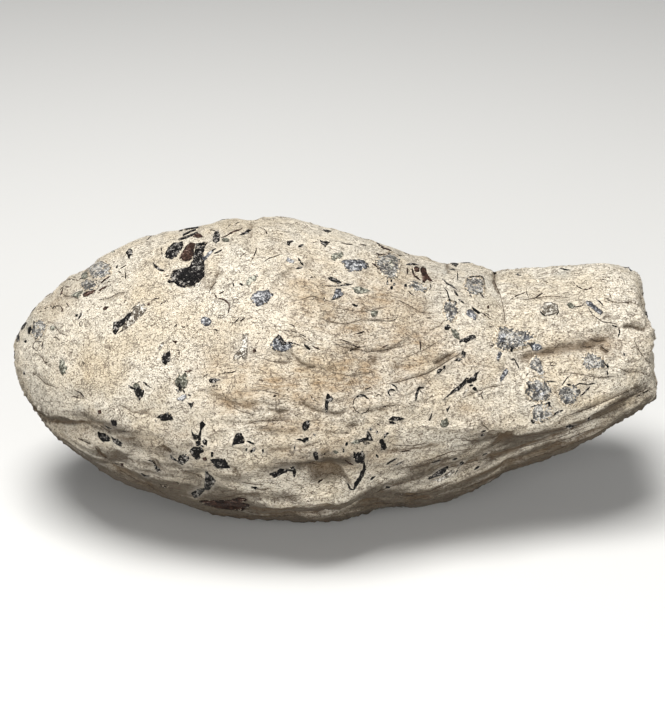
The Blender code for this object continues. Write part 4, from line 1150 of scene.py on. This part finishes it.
BROWN_SPLINTERS = (
    (2.2, ((376, 253), (380, 255.4), (383, 258.6), (386, 263), (386.4, 268))),
    (2.4, ((378, 255.6), (384, 254.8), (389.6, 254.4))),
    (2.0, ((372, 263), (376, 266), (379, 269.2), (384.6, 272.4))),
    (1.8, ((381, 264), (384.6, 264.8))),
    (2.4, ((376.4, 241), (380, 246), (384, 248), (391.4, 251))),
    (2.0, ((404, 251.8), (409.6, 254))),
    (1.3, ((396, 256), (400, 255.3), (404.4, 255.5))),
    (2.6, ((412, 267.6), (413, 273), (416, 277), (420.4, 280.4))),
    (1.6, ((407, 267.6), (407.4, 274.4))),
    (1.4, ((113, 262.2), (115, 261.8))),
    (1.3, ((408, 290.6), (411, 294), (414.4, 295.8))),
    (1.3, ((430.4, 283), (430.8, 287), (429.4, 290.4))),
    (1.3, ((437, 291.8), (441.4, 293.6))),
    (1.3, ((161, 246.6), (161.6, 251), (162.2, 256.4))),
    (1.5, ((168, 262.6), (171.4, 267.4))),
    (1.0, ((165, 277), (169.4, 275.4))),
    (1.2, ((147, 240), (152.4, 235.4))),
    (1.3, ((209, 229.4), (211, 230.2), (215.4, 230.6))),
    (1.8, ((221, 238), (226, 236), (231, 233), (236, 231), (242.4, 228.8))),
    (1.0, ((228, 226.4), (231.4, 224))),
    (1.0, ((233, 226), (239.4, 221.8))),
    (1.2, ((240, 257), (245.4, 252.8))),
    (1.3, ((251, 261.2), (254, 256), (256, 251), (256.6, 247.6))),
    (0.9, ((263, 262.2), (268, 259), (273, 257), (280.4, 254.4))),
    (0.9, ((260, 227.8), (264, 229), (266, 231.6))),
    (1.8, ((266.2, 231.6), (266.6, 234.2))),
    (1.7, ((219, 294.2), (224.4, 290.8))),
    (0.8, ((216, 281.8), (213, 286), (210, 290), (209, 294))),
    (1.5, ((213, 293), (216, 296), (216.4, 299.4))),
    (1.8, ((217, 298), (222, 299), (226, 301), (229, 304), (229.4, 308), (228, 313.4))),
    (1.4, ((228, 322.6), (234, 323), (237, 320.4), (239.4, 317.4))),
    (1.3, ((240, 321.2), (245.4, 317.8))),
    (1.3, ((213, 329.4), (216, 330), (218.4, 331.8))),
    (1.5, ((310, 278), (313, 277), (316.4, 275.8))),
    (1.3, ((313, 242.5), (317.4, 241.4))),
    (1.2, ((341, 242.4), (345, 244), (352.4, 244.6))),
    (1.0, ((360, 244.5), (366.4, 245.6))),
    (1.0, ((318, 285), (325, 286), (335, 286.2), (343, 286))),
    (1.3, ((324, 296.8), (324.6, 302.4))),
    (1.0, ((312, 300.2), (316.4, 295.8))),
    (1.6, ((356, 334), (360, 333), (364.6, 331.2))),
    (1.0, ((340, 339), (345, 341), (350.4, 342.6))),
    (1.1, ((333, 345), (340, 344), (350, 344), (357, 347), (365.4, 347))),
    (1.4, ((345, 354), (350, 351), (355, 348), (360, 346))),
    (1.8, ((382, 347.6), (388.4, 344.8))),
    (1.4, ((310, 395), (312, 398), (316.4, 401.4))),
    (1.3, ((363, 390), (368, 388.5), (371.4, 386.8))),
    (1.3, ((376, 395), (382.4, 393.8))),
    (1.0, ((380, 407), (388, 406.5), (395.4, 405.4))),
    (1.6, ((376, 423), (380.4, 425.8))),
    (1.6, ((420, 340), (420.6, 347), (420, 350.4))),
    (1.2, ((426, 318), (430.4, 318))),
    (0.9, ((370, 321), (383, 321), (391, 321), (396, 319), (398.4, 315))),
    (1.4, ((490, 345), (495.4, 347.2))),
    (1.2, ((491, 321.6), (492, 325.4))),
    (1.2, ((489, 326.6), (494.4, 326.4))),
    (1.1, ((481, 312), (485, 315), (490.4, 319.4))),
    (1.0, ((484, 312), (492.4, 317.4))),
    (1.1, ((477, 395), (481, 394), (483.4, 390.6))),
    (1.1, ((481, 394), (483.4, 399.4))),
    (1.0, ((510, 300), (515, 296.5), (520, 294.5), (525.4, 292.4))),
    (1.0, ((526, 288.6), (527, 294), (528.4, 298.4))),
    (1.5, ((533, 299), (538, 296), (543.4, 292.8))),
    (1.2, ((543, 281), (548.4, 282.6))),
    (1.0, ((573, 282), (578, 287), (583, 289.5), (588, 289.5), (592.4, 287))),
    (1.8, ((588.4, 289.4), (591.6, 287.4))),
    (1.0, ((602, 280), (605.4, 278.8))),
    (1.0, ((605, 277.5), (609.4, 277.4))),
    (1.0, ((588, 307), (592, 314), (597, 318), (603, 322), (612, 323), (617.4, 324.2))),
    (1.1, ((609, 293), (611, 297), (611, 300), (608, 300), (606, 298))),
    (1.2, ((573, 307.4), (582, 306), (584.4, 302.6))),
    (1.2, ((525, 378.2), (528.4, 372.8))),
    (1.0, ((532, 377), (540, 375), (543.4, 379.4))),
    (1.0, ((514, 373.6), (515.2, 380.4))),
    (1.3, ((37, 313), (42, 311), (46, 308), (50, 306.5), (55, 306), (60, 306), (62.4, 308))),
    (1.8, ((61, 306.6), (62.6, 309), (61.6, 312))),
    (2.2, ((52, 308.6), (56.4, 306.8))),
    (1.2, ((66, 303), (69.4, 307.2))),
    (1.6, ((65, 287), (69.4, 287.2))),
    (1.2, ((60, 290), (64.4, 285.8))),
    (2.0, ((63, 288.8), (61.5, 293), (60.5, 295.4))),
    (1.2, ((71, 275.8), (76.4, 278.2))),
    (1.1, ((66, 279), (73, 279.5), (77.4, 280.2))),
    (1.1, ((77, 281.2), (83.4, 276.8))),
    (2.0, ((101, 283.4), (104, 280.5), (107, 278), (110.4, 276.2))),
    (2.2, ((98.6, 291), (103, 288.4), (107.4, 286))),
    (1.3, ((53, 337.5), (57, 337.5), (59.4, 340.4))),
    (1.2, ((61, 343.2), (64.4, 342.4))),
    (1.5, ((69, 351.6), (72.4, 352.6))),
    (1.2, ((120, 269.2), (123, 267), (126.4, 265.2))),
    (1.2, ((118, 271), (121.4, 273.2))),
    (1.4, ((125.4, 272), (125.8, 279.4))),
    (1.0, ((121, 277.2), (124.4, 276.2))),
    (1.5, ((124, 303.4), (126.4, 300))),
    (1.2, ((151, 300.6), (154, 299), (158.4, 298.4))),
    (1.3, ((160, 304.6), (164, 302), (167, 300.4), (168.2, 302.6))),
    (1.1, ((174, 327.2), (177.4, 323.8))),
    (1.0, ((183, 328.2), (187.4, 325.8))),
    (1.3, ((179, 350.4), (179.4, 355.4))),
    (1.0, ((176, 350.4), (181.4, 350.4))),
    (1.8, ((184, 371), (187, 371.6), (190, 371), (192.4, 369.8))),
    (1.1, ((201, 378.2), (204, 376.5), (208.4, 373.6))),
    (1.2, ((212, 386.2), (218.4, 385))),
    (1.3, ((137, 382.6), (140.4, 381.2))),
    (1.0, ((170, 408.2), (173.4, 406.2))),
    (1.2, ((122, 431), (126.4, 431.6))),
    (1.4, ((112, 463), (118, 464), (123, 463.4), (123.4, 466.4))),
    (1.3, ((160, 484), (163, 486), (168.4, 487.6))),
    (1.2, ((176, 481.8), (180.4, 484.2))),
    (1.2, ((78, 438), (86, 442), (90.4, 444.2))),
    (1.2, ((102, 398.4), (104.4, 396.6))),
    (1.8, ((345, 460), (349, 463), (353.4, 465.2))),
    (1.2, ((323, 457.4), (325.4, 451.8))),
    (2.0, ((317.6, 482.6), (323, 479.4))),
    (1.8, ((400, 494), (403.4, 496))),
    (1.4, ((218, 374), (225, 373), (232, 372.5), (236.4, 370.8))),
    (1.0, ((283, 330), (288, 331), (294, 331.5), (297.4, 333))),
    (1.0, ((300, 334), (306, 337), (310.4, 340.4))),
    (1.0, ((289, 324), (293, 325), (295.4, 329.4))),
    (1.6, ((312, 346), (316, 348), (320.4, 349.6))),
    (1.3, ((291, 342.6), (296, 344), (300.4, 345.6))),
    (2.2, ((273, 396.8), (276.6, 395.2))),
    (1.2, ((400, 452), (410.4, 450.4))),
    (1.2, ((95.6, 278), (96.6, 282), (95, 286), (92, 286.4))),
    (1.2, ((91, 279.6), (91, 284.4))),
    (1.4, ((636, 397), (643, 393), (650.4, 389.6))),
    (1.4, ((41, 341), (42.6, 344), (41.6, 347.4))),
    (1.4, ((38, 336), (42.4, 336.2))),
    (1.2, ((44, 363.4), (48.4, 361.6))),
    (1.2, ((82, 361.6), (84.6, 363), (83.4, 365))),
    (1.3, ((71, 397.2), (74, 396.6), (78.4, 397.6))),
    (1.3, ((75, 390), (81, 393), (84.4, 397.4))),
)
# Cut ends of hollow bones and spines, as rings: middle and reach each way, and line width, in chart squares.
RINGS = (
    (361.5, 404.0, 8.5, 9.5, 1.0), (38.0, 346.0, 5.0, 5.0, 0.9), (81.0, 324.0, 1.6, 2.6, 0.8),
    (221.0, 316.5, 3.0, 1.6, 0.9), (553.0, 364.0, 3.0, 2.0, 1.3), (584.0, 379.4, 2.0, 1.0, 1.0),
    (165.0, 486.0, 3.6, 1.6, 0.8), (109.0, 284.0, 2.0, 2.6, 0.9), (236.0, 301.0, 3.0, 2.2, 0.8),
)
BROWN_BONES = (
    ((179.6, 258), (182.7, 252.7), (186.3, 246.4), (190.7, 243), (195, 244.6), (193.4, 250), (193.4, 256),
     (190.6, 259.4), (187.1, 261), (181.4, 260)),
    ((420.5, 270), (423, 266.6), (426, 269), (427, 274), (430, 278), (432.6, 281.2), (429, 281.2), (427, 279),
     (425, 282.4), (422.5, 282.2), (422.5, 278), (421.5, 274)),
    ((413.6, 268), (416, 266.4), (419.4, 268), (419, 271.6), (415.6, 272.4)),
    ((381.6, 264), (385.4, 263), (387, 267), (385.6, 270), (382, 267.6)),
    ((193, 237), (196, 233), (200, 234), (203.4, 237), (198, 238)),
    ((200, 501), (212, 500.2), (224, 500.4), (230, 500.4), (236, 498.2), (243, 498.2), (245.4, 500),
     (242, 503),
     (246, 503.5), (248.4, 505), (245, 508.4), (241, 510), (232, 509.6), (220, 508), (208, 505)),
    ((83, 295), (85, 292.5), (89, 291.4), (95.4, 290.2), (94, 293), (90, 294.6), (87, 296.8), (84, 296.4)),
    ((103, 309), (105, 306.6), (108.6, 306.8), (106.6, 309.4), (104, 310.2)),
    ((172.4, 341), (175, 340.6), (177.6, 341.4), (175.6, 343.4)),
    ((147, 303.4), (149.8, 302.6), (149.4, 305.6), (147.6, 305.4)),
    ((202, 458), (206, 456.8), (207.4, 460.2), (204, 460.4)),
    ((252.6, 350), (255.4, 348.8), (256.4, 351.4), (253.8, 352.8)),
    ((486.6, 306), (488.8, 305.4), (489.6, 308.4), (487.4, 308.8)),
    ((120, 464), (123.4, 463), (124, 466.6), (121.6, 466)),
    ((98, 411), (101, 409.6), (101.4, 413.6), (98.6, 414)),
)


shape = new_shape()
for width, path in BLACK_SPLINTERS:
    add_splinter(shape, chart_seat, path, LAPPED_WIDTH * width, chance, tone=BLACK_TONE)
for seat, reach in hidden_seats(count=70, reach=2.4, chance=chance):
    add_splinter(shape, seat, bent_path(reach, chance), chance.uniform(1.2, 3.2), chance, tone=BLACK_TONE)
finish_piece(shape, "black_splinters", enamel)

shape = new_shape()
for outline in BROWN_BONES:
    add_plate(shape, chart_seat, outline, chance)
for width, path in BROWN_SPLINTERS:
    add_splinter(shape, chart_seat, path, width, chance)
for x, y, across, down, width in RINGS:
    turns = [math.radians(30.0 * index) for index in range(13)]
    path = [(x + across * math.cos(turn), y + down * math.sin(turn)) for turn in turns]
    add_splinter(shape, chart_seat, path, width, chance)
for seat, reach in hidden_seats(count=14, reach=2.2, chance=chance):
    add_plate(shape, seat, broken_outline(reach, chance), chance)
for seat, reach in hidden_seats(count=110, reach=2.2, chance=chance):
    add_splinter(shape, seat, bent_path(reach, chance), chance.uniform(0.8, 1.8), chance)
bone = crazed_enamel(
    "iron_stained_bone", "#150E0B", "#3C2A22", "#857268", glint_edge=0.63, gloss=0.42, crumb_edge=0.76
)
finish_piece(shape, "brown_bones", bone)

# ---------------------------------------------------------------------------------------------------------
# The worn scales. Scales whose black glaze has weathered off, down to blue-grey dentine, grey-green bone and
# the chalky white of their inner layers. They lie among the black ones.
# ---------------------------------------------------------------------------------------------------------

BLUE_GREY_SCALES = (
    ((201, 320), (203, 317.2), (208, 317.2), (211.4, 321), (210, 325), (206, 326.2), (202, 324)),
    ((251, 298), (254, 294), (258, 291.4), (265, 291.2), (267, 288.8), (269, 292), (273.4, 295), (269, 299),
     (267, 303), (262, 304.4), (258, 306), (254, 303), (252, 300)),
    ((341, 262), (346, 260), (352, 260.2), (357, 259.8), (363, 260.8), (367, 264), (367.8, 267), (363, 269.6),
     (357, 270.8), (350, 271.4), (346, 269), (345, 265)),
    ((332, 300), (334, 294), (336, 288.8), (341, 289.2), (343.4, 295), (337, 298.4)),
    ((447, 314), (448, 308.6), (452, 308.8), (455.2, 311), (455.2, 316), (453.5, 320.4), (450, 318.2),
     (447.4, 317)),
    ((465.4, 312), (469, 309.6), (473, 311), (477.4, 316), (475.2, 320), (472, 319), (468, 316)),
    ((497.6, 337), (500, 332), (504.6, 328.6), (508, 333), (507.4, 338), (508.6, 344), (504, 347),
     (499, 344)),
    ((508.4, 337), (511, 333), (514, 334.4), (515.4, 339), (513.4, 345), (509.6, 347)),
    ((515.6, 339), (517.4, 334.4), (521, 335), (522.4, 340), (520, 345), (516.8, 346.4)),
    ((522, 335.4), (525, 332.4), (529.6, 335), (530.4, 339.6), (526, 342.4), (522.8, 341)),
    ((530.6, 346), (534, 342.6), (540, 344.8), (542.4, 348), (538, 350.4), (533, 350.2)),
    ((496, 358), (498, 353.4), (500, 351.2), (501.6, 354), (500.2, 358), (498.2, 361)),
    ((507, 367.6), (508.8, 370), (507, 374), (504, 378.2), (501, 381.4), (499.8, 378), (503, 372)),
    ((586, 301.2), (591, 302), (597, 307), (602.4, 311.5), (600.2, 314.4), (596, 311.6), (591, 308.2),
     (587, 305)),
    ((530, 392), (532, 387), (536, 383.8), (541, 384), (546, 387), (549.4, 391), (547, 396), (542, 399.8),
     (536, 398), (533, 395)),
    ((562, 396), (566, 394.6), (572, 396.6), (574.4, 400), (571, 403), (568, 404.4), (564, 402)),
    ((271, 345), (274, 340), (277.4, 336.8), (280, 343), (282, 348), (287.4, 345.4), (294, 342.8),
     (292.4, 347),
     (287, 350.4), (281, 351.4), (275, 350), (272, 348)),
    ((286, 261), (288, 257.3), (290, 259), (294.4, 261), (293, 263.8), (289, 262.8)),
    ((93, 272), (99, 271), (105, 270.3), (110.4, 269.8), (107, 273.2), (103, 275.2), (99, 275.8),
     (96, 274.2)),
    ((201, 258), (206, 255.6), (208, 252.6), (212, 250), (213, 252), (208, 257), (204, 261.6)),
    ((176.4, 399), (181, 395.3), (186.2, 394.3), (186.2, 398), (182, 400.8), (179, 400.4)),
)
GREY_GREEN_SCALES = (
    ((59, 367), (60, 361), (62, 358.8), (65, 362), (67.2, 367), (66, 372), (63, 375.2), (61, 373), (60, 370)),
    ((174, 382), (177, 378), (179, 373.2), (181, 377), (185, 372.8), (188.2, 380), (186, 386), (182, 390),
     (178, 387)),
    ((133.4, 386), (135, 382.8), (138.6, 383), (139, 386.4), (135.4, 388.4)),
    ((222, 239), (225, 237.8), (229.2, 239), (229.2, 241.6), (226, 241.8), (223, 241.2)),
    ((331, 257), (332.4, 254), (336, 253), (338.4, 254.6), (338, 258), (335, 260.4), (332, 260)),
    ((338, 253), (342, 251.8), (343.4, 256), (339.2, 258.8), (337, 256)),
    ((386, 272), (387, 262), (388.4, 256), (393, 255.8), (396.2, 259), (396, 266), (394, 273), (390, 275.2)),
    ((352, 288), (358, 286.8), (364, 288), (370.4, 291), (362, 293.4), (356, 293)),
    ((439.6, 424), (442, 420), (446, 418), (449.2, 421), (448, 425), (443, 428.2)),
    ((71, 296), (75, 293), (80, 291.2), (83.2, 291), (81, 294.2), (79, 298.2), (75, 296.8)),
    ((81, 276), (84, 272), (87.6, 271.6), (88, 276.6), (84.6, 279.6), (82, 279)),
    ((350, 442.4), (354, 440.4), (358.4, 440), (360, 443), (355, 444.4)),
    ((246, 281), (249, 278), (254, 275.2), (256.2, 277), (256, 280.2), (251, 283.8), (249, 286.2),
     (246, 284)),
    ((567, 304), (570, 302.2), (575.2, 306), (572, 308.8), (569, 307.8)),
    ((451, 329), (456, 330), (459.2, 334), (459.6, 340), (455, 338), (452, 333)),
    ((370, 312), (374, 310.4), (378, 311.6), (376.6, 316), (372, 316.4)),
    ((111, 247), (114, 244.8), (116.4, 247), (113.4, 250.4)),
    ((110.4, 250.6), (113, 249.8), (115.4, 252), (112.4, 253.4)),
    ((50, 327), (53.4, 325.4), (56.6, 328), (54, 330.4), (51, 329.6)),
    ((333, 451.4), (336, 450.4), (338.6, 452.4), (336, 453.8)),
)
SCALE_FILMS = (
    ((463.4, 284), (467, 279), (472, 276.6), (478, 276.4), (483.4, 279), (484.6, 286), (484, 294), (479, 293),
     (474, 297), (468, 294)),
    ((582, 359), (587, 353), (593, 353.4), (600, 356), (605.4, 361), (603, 368), (594, 369), (588, 371),
     (583, 366)),
    ((528.4, 366), (531, 360), (535, 356), (539.4, 357), (541.6, 364), (544.4, 372), (543, 380), (538.4, 376),
     (535, 370), (531, 369.4)),
    ((531, 411), (535, 405), (540, 402.4), (547, 403), (552, 408.4), (553.4, 416), (546, 420), (540, 423.4),
     (533, 421.4)),
    ((526, 384), (530, 380), (536, 379), (545, 381), (551, 386), (553, 393), (548, 399), (540, 402),
     (530, 400),
     (526, 393)),
    ((558, 392), (562, 386), (570, 384), (578, 387), (580, 394), (576, 402), (568, 406), (560, 402)),
    ((494, 338), (498, 328), (506, 325), (516, 331), (528, 330), (534, 337), (532, 344), (520, 349),
     (504, 351),
     (495, 347)),
    ((86, 268), (92, 262), (99, 260), (106, 262), (112, 268), (111, 274), (104, 278), (96, 279), (90, 276)),
    ((80, 284), (86, 279), (94, 281), (97, 286), (92, 292), (84, 291)),
    ((30, 332), (35, 322), (42, 319), (47, 326), (44, 335), (36, 340)),
    ((444, 303), (449, 300), (456, 302), (458, 312), (455, 322), (447, 321), (443, 312)),
    ((408, 284), (412, 281), (420, 283), (428, 288), (424, 293), (414, 291)),
    ((374, 262), (380, 255), (390, 252), (399, 256), (400, 268), (396, 279), (388, 279), (380, 272)),
)
PALE_SCALES = (
    ((122, 331), (124, 325), (129, 319), (133, 310), (135, 305.6), (139, 302.8), (144, 305.6), (146, 310),
     (141, 316), (133, 324)),
    ((186, 286.6), (192, 288), (198, 287), (202, 284.4), (201, 282), (197, 285.4), (191, 286.6)),
    ((242.4, 335), (248.6, 334.6), (246.6, 341), (247.2, 347), (247, 354), (246, 358.6), (243, 359.2),
     (241.4, 355.4), (239, 358.4), (234.4, 360), (234, 355.6), (239, 350), (242, 345), (243.2, 340)),
    ((541, 308), (545, 303), (551, 302.8), (557, 305), (558.4, 312), (553, 314.2), (545, 316)),
    ((362, 441.6), (367, 441), (370.4, 443.4), (366, 445.4)),
    ((158, 348), (160, 344.4), (163, 342.2), (164.4, 343.6), (161.6, 347.8), (159.4, 350.4)),
    ((430, 481), (438, 478.4), (446, 474), (452, 469.6), (454, 472), (448, 477), (440, 481.6)),
    ((462, 394.6), (465, 390.6), (468.6, 387.6), (468, 390), (464.4, 394.4)),
)


# Name, outlines, ground, middle and glint colours, where the glints start, how many lie on the hidden
# sides, and where the grains that cover them start: a film shows only in shreds.
WORN_SCALES = (
    ("blue_grey_scales", BLUE_GREY_SCALES, "#2B2B2D", "#707174", "#B4B3B1", 0.57, 26, 0.70),
    ("grey_green_scales", GREY_GREEN_SCALES, "#3A3930", "#7B7A6F", "#AEAC9D", 0.58, 22, 0.69),
    ("scale_films", SCALE_FILMS, "#3B3937", "#827F79", "#B5B2AB", 0.56, 30, 0.585),
    ("pale_scales", PALE_SCALES, "#463F36", "#A39D91", "#D6D1C7", 0.56, 12, 0.69),
)

WORN_GLOSS = 0.30  # the roughness of the smoothest spots of a worn scale

for name, outlines, dark, middle, light, glint_edge, hidden_count, crumb_edge in WORN_SCALES:
    shape = new_shape()
    for outline in outlines:
        add_plate(shape, chart_seat, outline, chance)
    for seat, reach in hidden_seats(hidden_count, reach=2.6, chance=chance):
        add_plate(shape, seat, broken_outline(reach, chance), chance)
    finish = crazed_enamel(name + "_finish", dark, middle, light, glint_edge, WORN_GLOSS, crumb_edge)
    finish_piece(shape, name, finish)

# ---------------------------------------------------------------------------------------------------------
# The dark lines in the cracks. Dark brown strips along the bottom of the thin cracks: painted shade of the
# cracks, with the fine brown earth washed into the stone where it lay and packed into them.
# ---------------------------------------------------------------------------------------------------------

THIN_CRACK = 0.25  # half width in millimetres, up to which a crack gets its dark strip
DARK_LINE_SHARE = 1.1  # the width of the dark strip, as a share of the crack's half width
DARK_LINE_RISE = -0.02  # millimetres that the middle of the dark strip stands over its rim: it sags

shape = new_shape()
for _, half_width, path in CRACKS:
    if half_width <= THIN_CRACK:
        width = half_width * DARK_LINE_SHARE * MM / CHART_SQUARE
        add_splinter(shape, chart_seat, path, width, chance, DARK_LINE_RISE)
# The dark strips: packed earth with painted shade, dark brown and dull, in grains of 0.4 mm.
crack_line_earth_and_shade, tree, shader, place = new_material("packed_earth_and_painted_shade")
spread = {"Vector": place, "Scale": 1.0 / (0.4 * MM), "Detail": 2.0, "Roughness": 0.55, "Distortion": 0.0}
grain = add_node(tree, "TexNoise", spread)
span = {"Value": grain, "From Min": 0.35, "From Max": 0.65, "To Max": 1.0}
light_grains = add_node(tree, "MapRange", span, interpolation_type="SMOOTHSTEP")
pair = {0: light_grains, 6: linear("#241B13"), 7: linear("#4E3F2E")}
colour = add_node(tree, "Mix", pair, 2, data_type="RGBA", blend_type="MIX")
finish_shader(tree, shader, colour, 0.90, grain, 0.2 * MM)
finish_piece(shape, "crack_dirt", crack_line_earth_and_shade)

# ---------------------------------------------------------------------------------------------------------
# The matrix round the scales. The stone right round the sharp-rimmed pieces is painted a little paler than
# the weathered skin, in a line under a millimetre wide.
# ---------------------------------------------------------------------------------------------------------

SHARP_RIMMED = ("black_scales", "black_splinters", "blue_grey_scales", "grey_green_scales", "pale_scales")

rims = []
for piece in bpy.data.objects:
    if piece.name in SHARP_RIMMED:
        rims += [vert.co.copy() for vert in piece.data.vertices]
tree_of_rims = KDTree(len(rims))
for index, place in enumerate(rims):
    tree_of_rims.insert(place, index)
tree_of_rims.balance()
gaps = np.array([tree_of_rims.find(place)[2] for place in moved.tolist()]) / MM
paint(stone_mesh, "contact", 1.0 - eased(gaps, 0.15, 0.9))

# ---------------------------------------------------------------------------------------------------------
# The floor, the light and the camera. A plain pale floor that runs out of view, under a wide soft box
# overhead, with a weak fill from the front and one from the right.
# ---------------------------------------------------------------------------------------------------------

shape = bmesh.new()
bmesh.ops.create_grid(shape, x_segments=1, y_segments=1, size=3.0)
floor_mesh = bpy.data.meshes.new("floor")
shape.to_mesh(floor_mesh)
shape.free()
floor = bpy.data.objects.new("floor", floor_mesh)
bpy.context.scene.collection.objects.link(floor)
floor_finish, tree, shader, place = new_material("plain_pale_floor")
shader.inputs["Base Color"].default_value = linear("#BDBCB9")
shader.inputs["Roughness"].default_value = 0.85
floor_mesh.materials.append(floor_finish)


def soft_box(name, place, size, power):
    lamp = bpy.data.lights.new(name, "AREA")
    lamp.energy = power
    lamp.size = size
    box = bpy.data.objects.new(name, lamp)
    box.location = place
    box.rotation_euler = (stone_middle - box.location).to_track_quat("-Z", "Y").to_euler()
    bpy.context.scene.collection.objects.link(box)


soft_box("overhead_box", Vector((-0.10, -0.08, 0.75)), size=0.36, power=9.8)
soft_box("front_fill", Vector((-0.26, -0.80, 0.32)), size=0.5, power=4.6)
soft_box("right_fill", Vector((0.50, -0.65, 0.35)), size=0.4, power=3.1)

world = bpy.data.worlds.new("studio")
world.use_nodes = True
world.node_tree.nodes["Background"].inputs["Color"].default_value = linear("#B8BABD")
world.node_tree.nodes["Background"].inputs["Strength"].default_value = 0.24
bpy.context.scene.world = world
bpy.context.scene.view_settings.view_transform = "Standard"

PICTURE_WIDTH = 665
LONG_SIDE = 702  # the picture's longer side, which the camera's sensor width spans
camera = bpy.data.cameras.new("camera")
camera.sensor_width = 36.0
camera.lens = camera.sensor_width * VIEW_DISTANCE / CHART_SQUARE / LONG_SIDE
camera.clip_start = 0.01
camera.shift_x = (PICTURE_WIDTH / 2 - CHART_MIDDLE[0]) / LONG_SIDE
camera.shift_y = (CHART_MIDDLE[1] - LONG_SIDE / 2) / LONG_SIDE
view = bpy.data.objects.new("camera", camera)
view.location = chart_eye
view.rotation_euler = chart_ahead.to_track_quat("-Z", "Y").to_euler()
bpy.context.scene.collection.objects.link(view)
bpy.context.scene.camera = view
